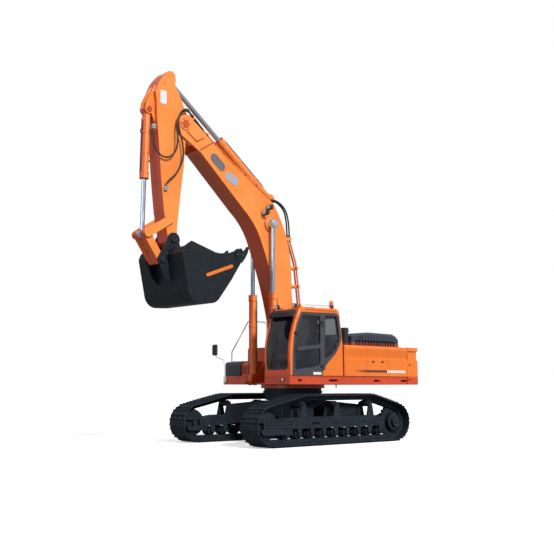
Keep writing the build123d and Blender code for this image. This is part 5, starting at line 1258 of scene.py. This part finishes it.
class CabTrim(Operator):
    """Wiper, door latch, blank plate, window seals, roof hatch, gutter, marker lamp and drain"""

    bl_idname = "excavator.cab_trim"
    bl_label = "Cab fittings"

    def execute(self, context):
        dark, pale, roof, seal = (bmesh.new() for _ in range(4))
        outer = corners("door_frame")[1].y
        # latch handle in its recess plate, on the door
        add_prism(dark, rounded((1.215, 2.690), (1.325, 2.775), 0.018), outer - 0.001, outer + 0.008)
        add_prism(dark, rounded((1.228, 2.722), (1.312, 2.748), 0.010), outer + 0.008, outer + 0.034)
        mesh_piece("door_latch", dark, "cab_door", "dark_plastic", 0.002)
        add_prism(pale, rounded((0.400, 1.722), (0.680, 1.788), 0.008), outer - 0.001, outer + 0.004)
        mesh_piece("door_step_plate", pale, "cab_door", "white_paint", 0.001)
        # rubber around the door's two windows
        upper = ((0.430, 2.485), (1.274, 2.400), (1.257, 2.600), (1.152, 2.960), (1.022, 3.190))
        upper += ((0.430, 3.200),)
        lower = ((0.430, 1.990), (0.585, 1.925), (1.292, 1.850), (1.292, 2.300), (0.430, 2.385))
        for window in (upper, lower):
            add_seal(seal, window, 0.045, 0.007, outer - 0.003, outer + 0.003)
        mesh_piece("door_window_seals", seal, "cab_door", "black_rubber")
        # roof hatch with its handle
        roof_top, roof_foot, roof_length = 3.415, 3.388, 1.170
        slope = (roof_top - roof_foot) / roof_length
        for z, inset in ((0.0, 0.0), (0.012, 0.035)):
            outline = rounded((0.20 + inset, 0.70 + inset), (0.78 - inset, 1.26 - inset), 0.050)
            base = roof_top - slope * 0.60
            add_prism(roof, outline, base - 0.010 + z, base + 0.018 + z, plan_view)
        rail = [(0.30, 0.86, 3.425), (0.30, 0.86, 3.455), (0.30, 1.10, 3.455), (0.30, 1.10, 3.425)]
        add_path(roof, rail, 0.009, 10)
        mesh_piece("roof_hatch", roof, "upperstructure", "machine_orange", 0.004)
        # wiper over the windscreen
        arm = bmesh.new()
        add_bar(arm, (1.420, 0.70, 1.905), (1.452, 0.70, 1.905), 0.022, 14)
        blade = ((1.450, 0.905, 2.060), (1.444, 0.915, 2.260), (1.432, 0.925, 2.480))
        blade += ((1.414, 0.935, 2.680),)
        add_path(arm, blade, 0.010, 8)
        add_bar(arm, (1.450, 0.70, 1.905), (1.450, 0.917, 2.330), 0.007, 8)
        mesh_piece("windscreen_wiper", arm, "upperstructure", "dark_plastic", 0.002)
        # rail along the roof's side and the drain under the deck
        gutter = bmesh.new()
        add_prism(gutter, rectangle((-0.16, 3.330), (0.94, 3.344)), 1.4865, 1.492)
        mesh_piece("roof_gutter", gutter, "upperstructure", "frame_red", 0.002)
        drain = bmesh.new()
        add_bar(drain, (-0.215, 1.400, 1.484), (-0.215, 1.400, 1.395), 0.014, 12)
        add_bar(drain, (-0.215, 1.400, 1.484), (-0.215, 1.400, 1.470), 0.022, 12)
        mesh_piece("deck_drain", drain, "upperstructure", "pipe_steel", 0.001)
        lamp = bmesh.new()
        add_prism(lamp, rounded((1.165, 3.070), (1.250, 3.120), 0.014), 1.486, 1.4915)
        mesh_piece("marker_lamp", lamp, "upperstructure", "beacon_orange", 0.002)
        return {"FINISHED"}


class LampTrim(Operator):
    """Lenses, rims and the base of the beacon"""

    bl_idname = "excavator.lamp_trim"
    bl_label = "Lamp lenses"

    def execute(self, context):
        lenses, rims = bmesh.new(), bmesh.new()
        # face of each round lamp: x, y, z and radius
        for x, y, z, radius in (
            (1.150, 0.640, 3.437, 0.052),
            (1.150, 1.290, 3.437, 0.052),
            (1.462, 1.215, 1.600, 0.044),
            (1.207, -1.326, 1.600, 0.044),
        ):
            add_bar(lenses, (x - 0.001, y, z), (x + 0.005, y, z), radius - 0.009, 28)
            add_ring(rims, (x - 0.001, y, z), (1, 0, 0), radius, radius - 0.009, 0.009, 28)
        mesh_piece("work_lamp_lenses", lenses, "upperstructure", "clear_lens", 0.002)
        mesh_piece("work_lamp_rims", rims, "upperstructure", "dark_plastic", 0.001)
        lenses, guards = bmesh.new(), bmesh.new()
        for x, z in ((1.205, 6.070), (1.355, 5.905)):
            glass = rounded((0.322, z - 0.048), (0.438, z + 0.048), 0.016)
            add_prism(lenses, glass, x - 0.001, x + 0.005, front_view)
            for dz in (-0.030, 0.0, 0.030):
                add_bar(guards, (x + 0.010, 0.320, z + dz), (x + 0.010, 0.440, z + dz), 0.003, 6)
            for y in (0.322, 0.438):
                add_bar(guards, (x - 0.002, y, z), (x + 0.012, y, z), 0.006, 6)
        mesh_piece("boom_lamp_lenses", lenses, "boom", "clear_lens", 0.002)
        mesh_piece("boom_lamp_guards", guards, "boom", "dark_plastic")
        centre = middle("beacon")
        low, high = corners("beacon")
        base = bmesh.new()
        add_ring(base, (centre.x, centre.y, low.z + 0.001), (0, 0, 1), 0.0635, 0.050, 0.088, 32)
        for z in (0.110, 0.135, 0.160):
            reach = 0.0545 - (z - 0.090) * 0.105
            at = (centre.x, centre.y, low.z + z)
            add_ring(base, at, (0, 0, 1), reach + 0.001, reach - 0.006, 0.003, 32)
        mesh_piece("beacon_base", base, "upperstructure", "dark_plastic", 0.002)
        return {"FINISHED"}


PAD_CUTS = 14
PAD_PINCH = 0.10
CHANNEL_DEPTH = 0.10
CHANNEL_WIDTH = 0.045


def pad_shape(size, crown, seams):
    """Crowned cushion: sides pull in towards the corners, with sewn channels across it."""
    shape = bmesh.new()
    bmesh.ops.create_cube(shape, size=2.0)
    bmesh.ops.subdivide_edges(shape, edges=shape.edges, cuts=PAD_CUTS, use_grid_fill=True)
    for vert in shape.verts:
        u, v, w = vert.co
        blend = 1.0 - PAD_PINCH * (u * u * v * v + v * v * w * w + u * u * w * w) / 1.5
        squeeze = 1.0
        for place in seams:
            squeeze -= CHANNEL_DEPTH * math.exp(-(((u - place) / CHANNEL_WIDTH) ** 2))
        face = (1.0 - u * u) * (1.0 - v * v)
        x = u * size[0] / 2 * blend
        y = v * size[1] / 2 * blend
        z = w * (size[2] / 2 * blend + crown * face) * (squeeze if w > 0 else 1.0)
        vert.co = (x, y, z)
    return shape


class SeatBuild(Operator):
    """Operator's seat: plinth, two sewn cushions and a headrest on two posts"""

    bl_idname = "excavator.seat"
    bl_label = "Operator's seat"

    def execute(self, context):
        low, high = corners("operator_seat")
        y = (low.y + high.y) / 2
        # name, size, crown, channels, middle, lean about the machine's width, fill
        pads = (
            ("seat_cushion", (0.54, 0.46, 0.12), 0.012, (-0.45, 0.0, 0.45), (0.355, y, 2.140), -0.02, 0.7),
            ("seat_back", (0.66, 0.44, 0.10), 0.012, (-0.5, 0.0, 0.5), (0.055, y, 2.520), 1.777, 0.7),
            ("seat_headrest", (0.17, 0.26, 0.07), 0.008, (), (-0.012, y, 2.965), 1.65, 0.8),
        )
        for name, size, crown, seams, centre, lean, fill in pads:
            shape = pad_shape(size, crown, seams)
            turn = Matrix.Rotation(-lean, 4, "Y")
            bmesh.ops.transform(shape, matrix=Matrix.Translation(centre) @ turn, verts=shape.verts)
            pad = mesh_piece(name, shape, "upperstructure", "seat_cloth", 0.0, 80.0)
            smooth = pad.modifiers.new("smooth", "SUBSURF")
            smooth.levels = smooth.render_levels = 1
            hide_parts("operator_seat")
        frame_parts = bmesh.new()
        add_box(frame_parts, (0.14, y - 0.185, low.z), (0.54, y + 0.185, low.z + 0.070))
        for i in range(4):
            z = low.z + 0.075 + 0.050 * i
            half = 0.170 - 0.006 * (i % 2)
            add_box(frame_parts, (0.165, y - half, z), (0.515, y + half, z + 0.044))
        add_box(frame_parts, (0.13, y - 0.190, low.z + 0.275), (0.56, y + 0.190, low.z + 0.322))
        for x in (-0.030, 0.010):
            for dy in (-0.06, 0.06):
                add_bar(frame_parts, (x, y + dy, 2.80), (x - 0.008, y + dy, 2.91), 0.008, 8)
        plinth = mesh_piece("seat_plinth", frame_parts, "upperstructure", "dark_plastic", 0.006)
        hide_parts("operator_seat")
        return {"FINISHED"}


STUD_STEP = 0.06
STUD_RADIUS = 0.008


def studs(shape, low, high, z):
    """Raised anti-slip studs on a level top, every second row set between the others."""
    rows = int((high[0] - low[0]) / STUD_STEP)
    columns = int((high[1] - low[1]) / STUD_STEP)
    for i in range(rows + 1):
        for k in range(columns + 1 - i % 2):
            x = low[0] + STUD_STEP * i
            y = low[1] + STUD_STEP * (k + 0.5 * (i % 2))
            add_bar(shape, (x, y, z - 0.001), (x, y, z + 0.004), STUD_RADIUS, 6, STUD_RADIUS * 0.7)


class HouseTrim(Operator):
    """Seams, latches, bolts and hinges of the side panels; treads, caps and vent of the top cover"""

    bl_idname = "excavator.house_trim"
    bl_label = "House fittings"

    seam: FloatProperty(name="Seam", description="Width of a panel seam", default=0.007)

    def execute(self, context):
        low, high = corners("side_panel_left")
        crease = high.y - 0.038
        # outer face from the deck to the shoulder: place across, height
        face = ((high.y, low.z + 0.004), (high.y, 2.150), (crease, 2.180), (high.y, 2.400))
        face += ((high.y, 2.440), (high.y - 0.060, high.z), (high.y - 0.285, high.z))
        seams, latches, bolts, hinges = (bmesh.new() for _ in range(4))
        for hand in (1, -1):
            for x in (low.x + 0.012, -2.180, -1.320, high.x + 0.010):
                outline = [(hand * (y + 0.0015), z + 0.0015) for y, z in face]
                outline += [(hand * (y - 0.0020), z - 0.0020) for y, z in reversed(face)]
                add_prism(seams, outline, x - self.seam / 2, x + self.seam / 2, front_view)
            outer = hand * high.y
            for x in (-1.545, -1.905):
                ends = thick(hand, outer, 0.001, 0.003)
                add_prism(latches, rounded((x - 0.050, 2.060), (x + 0.050, 2.105), 0.014), *ends)
                ends = sorted((outer + hand * 0.003, outer + hand * 0.012))
                add_prism(latches, capsule((x - 0.028, 2.083), (x + 0.028, 2.083), 0.009, 4), *ends)
            for x in (-2.120, -1.380, -1.260, -0.560):
                for z in (1.760, 2.090):
                    add_bolt(bolts, (x, outer, z), (0, hand, 0), 0.012, 0.006)
            for x in (-2.90, -2.30, -1.70, -1.05, -0.55):
                add_bolt(bolts, (x, hand * (high.y - 0.250), high.z), (0, 0, 1), 0.016, 0.010)
            for x in (-2.60, -1.75, -0.90):
                y = hand * (high.y - 0.289)
                add_bar(hinges, (x - 0.07, y, high.z + 0.008), (x + 0.07, y, high.z + 0.008), 0.011, 12)
                leaf = thick(hand, y, 0.0, 0.05)
                add_box(hinges, (x - 0.06, leaf[0], high.z - 0.001), (x + 0.06, leaf[1], high.z + 0.006))
        mesh_piece("panel_seams", seams, "upperstructure", "frame_red", 0.0, 80.0)
        mesh_piece("panel_latches", latches, "upperstructure", "dark_plastic", 0.001)
        mesh_piece("panel_bolts", bolts, "upperstructure", "bolt_steel")
        mesh_piece("cover_hinges", hinges, "upperstructure", "frame_red", 0.002)

        # tread plates, filler caps and a vent on the top cover
        cover = corners("top_cover")[1].z
        treads, caps = bmesh.new(), bmesh.new()
        for y_low, y_high in ((0.92, 1.16), (-1.16, -0.92)):
            for x_low, x_high in ((-1.10, -0.50), (-2.86, -1.42)):
                add_box(treads, (x_low, y_low, cover - 0.001), (x_high, y_high, cover + 0.003))
                studs(treads, (x_low + 0.03, y_low + 0.03), (x_high - 0.03, y_high - 0.02), cover + 0.003)
        mesh_piece("cover_treads", treads, "upperstructure", "tread_grey")
        for x, y, radius in ((-0.85, -0.62, 0.070), (-1.10, 0.30, 0.055)):
            add_bar(caps, (x, y, cover - 0.001), (x, y, cover + 0.030), radius, 28)
            add_bar(caps, (x, y, cover + 0.030), (x, y, cover + 0.042), radius * 0.75, 28, radius * 0.6)
            grip = radius * 0.9
            add_box(caps, (x - 0.012, y - grip, cover + 0.040), (x + 0.012, y + grip, cover + 0.056))
        for i in range(9):
            x = -1.24 + 0.030 * i
            add_box(caps, (x, -0.55, cover - 0.001), (x + 0.014, 0.10, cover + 0.012))
        mesh_piece("cover_caps", caps, "upperstructure", "dark_plastic", 0.003)
        return {"FINISHED"}


class HoodTrim(Operator):
    """Slats, seams, louvre ribs and handles of the engine hood and bands of its air duct"""

    bl_idname = "excavator.hood_trim"
    bl_label = "Hood fittings"

    def execute(self, context):
        low, high = corners("engine_hood")
        crest = high.x - 0.720
        slats, seams, handles = (bmesh.new() for _ in range(3))
        # slatted grilles on the crown, left and right of the middle
        for y_low, y_high in ((-0.62, -0.12), (0.12, 0.62)):
            for i in range(16):
                x = crest - 0.10 - 0.052 * i
                drop = 0.015 * (crest - x) / (crest - low.x - 0.200)
                z = high.z - drop
                add_box(slats, (x - 0.030, y_low, z - 0.002), (x, y_high, z + 0.010))
            z = high.z - 0.016
            for y in (y_low - 0.014, y_high):
                add_box(slats, (crest - 0.93, y, z - 0.010), (crest - 0.07, y + 0.014, high.z + 0.003))
        mesh_piece("hood_slats", slats, "upperstructure", "dark_plastic", 0.002)
        # seam down each side from the crest, and the joint to the sill
        for hand, side in both_hands(high.y):
            line = thick(hand, side, 0.001, 0.0015)
            add_prism(seams, rectangle((crest - 0.004, 2.635), (crest + 0.004, high.z - 0.075)), *line)
            add_prism(seams, rectangle((low.x + 0.01, 2.629), (high.x - 0.005, 2.636)), *line)
            # thin ribs between the louvres
            rib = thick(hand, side, 0.002, 0.006)
            for i in range(15):
                x = low.x + 0.150 + (high.x - low.x - 0.300) / 14 * i
                add_prism(seams, rectangle((x - 0.008, 2.640), (x + 0.008, 2.695)), *rib)
            grip = ((0.28, -0.004), (0.28, 0.038), (0.44, 0.038), (0.44, -0.004))
            handle = [(crest + ahead, side + hand * out, 2.770) for ahead, out in grip]
            add_path(handles, handle, 0.009, 10)
        mesh_piece("hood_seams", seams, "upperstructure", "dark_plastic")
        mesh_piece("hood_handles", handles, "upperstructure", "dark_plastic")
        duct_low, duct_high = corners("air_pre_cleaner")
        centre = (duct_low + duct_high) / 2
        bands = bmesh.new()
        # two clamps round the duct, then the rain cap's slats: foot, half width, height
        rows = [(2.560, 0.0725, 0.022), (2.860, 0.0725, 0.022)]
        for i in range(5):
            rows.append((2.905 + 0.017 * i, 0.0859 - 0.00238 * i, 0.006))
        for z, half, height in rows:
            low = (centre.x - half, centre.y - half, z)
            add_box(bands, low, (centre.x + half, centre.y + half, z + height))
        mesh_piece("duct_bands", bands, "upperstructure", "hood_paint", 0.001)
        return {"FINISHED"}


class RightSideTrim(Operator):
    """Treads and latches of the tool box, treads of the valve cover and tank, tank cap, deck bolts"""

    bl_idname = "excavator.right_side_trim"
    bl_label = "Right front fittings"

    def execute(self, context):
        treads, trims, caps = (bmesh.new() for _ in range(3))
        box_low, box_high = corners("tool_box")
        plate = ((0.400, box_low.y + 0.06), (0.960, box_high.y - 0.05))
        add_box(treads, (*plate[0], box_high.z - 0.006), (*plate[1], box_high.z + 0.003))
        studs(treads, (0.440, box_low.y + 0.10), (0.930, box_high.y - 0.09), box_high.z + 0.003)
        cover_low, cover_high = corners("valve_cover")
        studs(treads, (0.400, cover_low.y + 0.05), (0.950, cover_high.y - 0.04), cover_high.z)
        tank_low, tank_high = corners("fuel_tank")
        studs(treads, (tank_low.x + 0.25, -1.33), (tank_high.x - 0.08, -1.05), tank_high.z)
        mesh_piece("right_treads", treads, "upperstructure", "tread_grey")
        side = box_low.y
        add_prism(trims, rectangle((0.352, 2.012), (1.120, 2.018)), side - 0.0015, side + 0.001)
        for x in (0.520, 0.940):
            latch = rounded((x - 0.030, 1.965), (x + 0.030, 2.045), 0.010)
            add_prism(trims, latch, side - 0.010, side + 0.001)
        for z in (1.80, 1.86, 1.92):
            add_prism(trims, capsule((0.62, z), (0.88, z), 0.010, 4), side - 0.005, side + 0.001)
        mesh_piece("tool_box_latches", trims, "upperstructure", "dark_plastic", 0.001)
        centre = Vector((-0.120, -0.86, tank_high.z))
        add_bar(caps, centre - Vector((0, 0, 0.002)), centre + Vector((0, 0, 0.045)), 0.075, 32)
        add_bar(caps, centre + Vector((0, 0, 0.045)), centre + Vector((0, 0, 0.060)), 0.060, 32, 0.050)
        for i in range(12):
            t = 2 * math.pi * i / 12
            rim = centre + Vector((0.075 * math.cos(t), 0.075 * math.sin(t), 0.005))
            add_bar(caps, rim, rim + Vector((0, 0, 0.036)), 0.006, 6)
        # louvres of the valve cover towards the front
        for i in range(6):
            z = 1.76 + 0.036 * i
            add_box(caps, (cover_high.x - 0.004, -0.745, z), (cover_high.x + 0.006, -0.570, z + 0.014))
        mesh_piece("tank_cap", caps, "upperstructure", "dark_plastic", 0.002)
        front = bmesh.new()
        for deck, places in (("deck_right", (-1.40, -1.12, -0.84)), ("deck_left", (0.60, 0.95, 1.38))):
            for y in places:
                add_bolt(front, (corners(deck)[1].x, y, 1.655), (1, 0, 0), 0.016, 0.010)
        for hand, edge in both_hands(corners("deck_left")[1].y):
            for i in range(11):
                add_bolt(front, (-2.85 + 0.40 * i, edge, 1.665), (0, hand, 0), 0.014, 0.008)
        mesh_piece("deck_bolts", front, "upperstructure", "bolt_steel")
        return {"FINISHED"}


class TailTrim(Operator):
    """Rear lamps and their plates, rings on the lifting eyes and bolts of the counterweight"""

    bl_idname = "excavator.tail_trim"
    bl_label = "Counterweight fittings"

    def execute(self, context):
        low, high = corners("counterweight")
        radius = -low.x
        lamps, plates, bolts = (bmesh.new() for _ in range(3))
        for y in (-1.08, 1.08):
            turn = math.asin(y / radius)
            # along the bend: start, stop, where it goes, how proud, how much lower than its plate
            for start, stop, target, proud, trim in (
                (-0.110, 0.110, plates, 0.006, 0.0),
                (-0.095, -0.005, lamps, 0.014, 0.012),
                (0.005, 0.095, lamps, 0.014, 0.012),
            ):
                spokes = [turn + (start + (stop - start) * k / 4) / radius for k in range(5)]
                ring = []
                for reach, angles in ((radius + proud, spokes), (radius - 0.01, spokes[::-1])):
                    ring += [(-reach * math.cos(t), reach * math.sin(t)) for t in angles]
                add_prism(target, ring, 1.640 + trim, 1.760 - trim, plan_view)
        mesh_piece("tail_lamp_plates", plates, "upperstructure", "dark_plastic", 0.002)
        mesh_piece("tail_lamps", lamps, "upperstructure", "tail_red", 0.003)
        for y in (-0.62, 0.62):
            x = 0.285 - radius
            for way in (-1, 1):
                face = y + way * 0.030
                add_ring(bolts, (x, face, high.z - 0.070), (0, way, 0), 0.058, 0.040, 0.006, 28)
        for hand in (1, -1):
            for z in (1.62, 2.02):
                add_bolt(bolts, (high.x - 0.08, hand * high.y, z), (0, hand, 0), 0.030, 0.020)
        mesh_piece("counterweight_bolts", bolts, "upperstructure", "bolt_steel")
        return {"FINISHED"}


class CabSeals(Operator):
    """Dark seals in the gaps round the cab door and the rear side window"""

    bl_idname = "excavator.cab_seals"
    bl_label = "Cab seals"

    def execute(self, context):
        low, high = corners("door_frame")
        outline = (
            (low.x, low.z), (high.x, low.z), (high.x - 0.006, 2.150), (high.x - 0.042, 2.600),
            (high.x - 0.157, 3.000), (high.x - 0.287, 3.235), (high.x - 0.332, 3.262), (low.x, high.z),
        )
        seal = bmesh.new()
        for (x0, z0), (x1, z1) in zip(outline, outline[1:] + outline[:1]):
            run = math.dist((x0, z0), (x1, z1))
            out = ((z1 - z0) / run * 0.005, -(x1 - x0) / run * 0.005)
            start, end = (x0 + out[0], z0 + out[1]), (x1 + out[0], z1 + out[1])
            add_prism(seal, capsule(start, end, 0.0028, 2), high.y - 0.030, high.y - 0.006)
        pane = ((0.260, 2.120), (0.260, 3.210), (-0.140, 3.220), (-0.170, 3.180), (-0.258, 2.660))
        pane += ((-0.200, 2.520), (-0.060, 2.310))
        add_seal(seal, pane, 0.030, 0.008, high.y - 0.030, high.y + 0.001)
        mesh_piece("door_gap_seal", seal, "upperstructure", "black_rubber")
        return {"FINISHED"}


class ExcavatorPanel(Panel):
    """Lists the pieces of the machine"""

    bl_idname = "VIEW3D_PT_excavator"
    bl_label = "Excavator"
    bl_space_type = "VIEW_3D"
    bl_region_type = "UI"
    bl_category = "Excavator"

    def draw(self, context):
        paint, stage = sizes()
        for field in ("orange", "orange_deep", "door_grey", "steel", "bare", "dust"):
            self.layout.prop(paint, field)
        for field in ("lens", "sun", "sky"):
            self.layout.prop(stage, field)
        for piece in PIECES:
            self.layout.operator(piece.bl_idname)


PIECES = (
    BuildStage,
    PaintFrame,
    BoomTrim,
    BoomPlumbing,
    ArmHoses,
    ArmTrim,
    CylinderTrim,
    BucketTrim,
    TrackTrim,
    FrameTrim,
    CabTrim,
    LampTrim,
    SeatBuild,
    HouseTrim,
    HoodTrim,
    RightSideTrim,
    TailTrim,
    CabSeals,
)
CLASSES = (PaintSettings, StageSettings, *PIECES, ExcavatorPanel)


def register():
    for kind in CLASSES:
        bpy.utils.register_class(kind)
    bpy.types.Scene.excavator_paint = PointerProperty(type=PaintSettings)
    bpy.types.Scene.excavator_stage = PointerProperty(type=StageSettings)


def unregister():
    del bpy.types.Scene.excavator_stage
    del bpy.types.Scene.excavator_paint
    for kind in reversed(CLASSES):
        bpy.utils.unregister_class(kind)


def main():
    register()
    for piece in PIECES:
        group, name = piece.bl_idname.split(".")
        getattr(getattr(bpy.ops, group), name)()


if __name__ == "__main__":
    main()
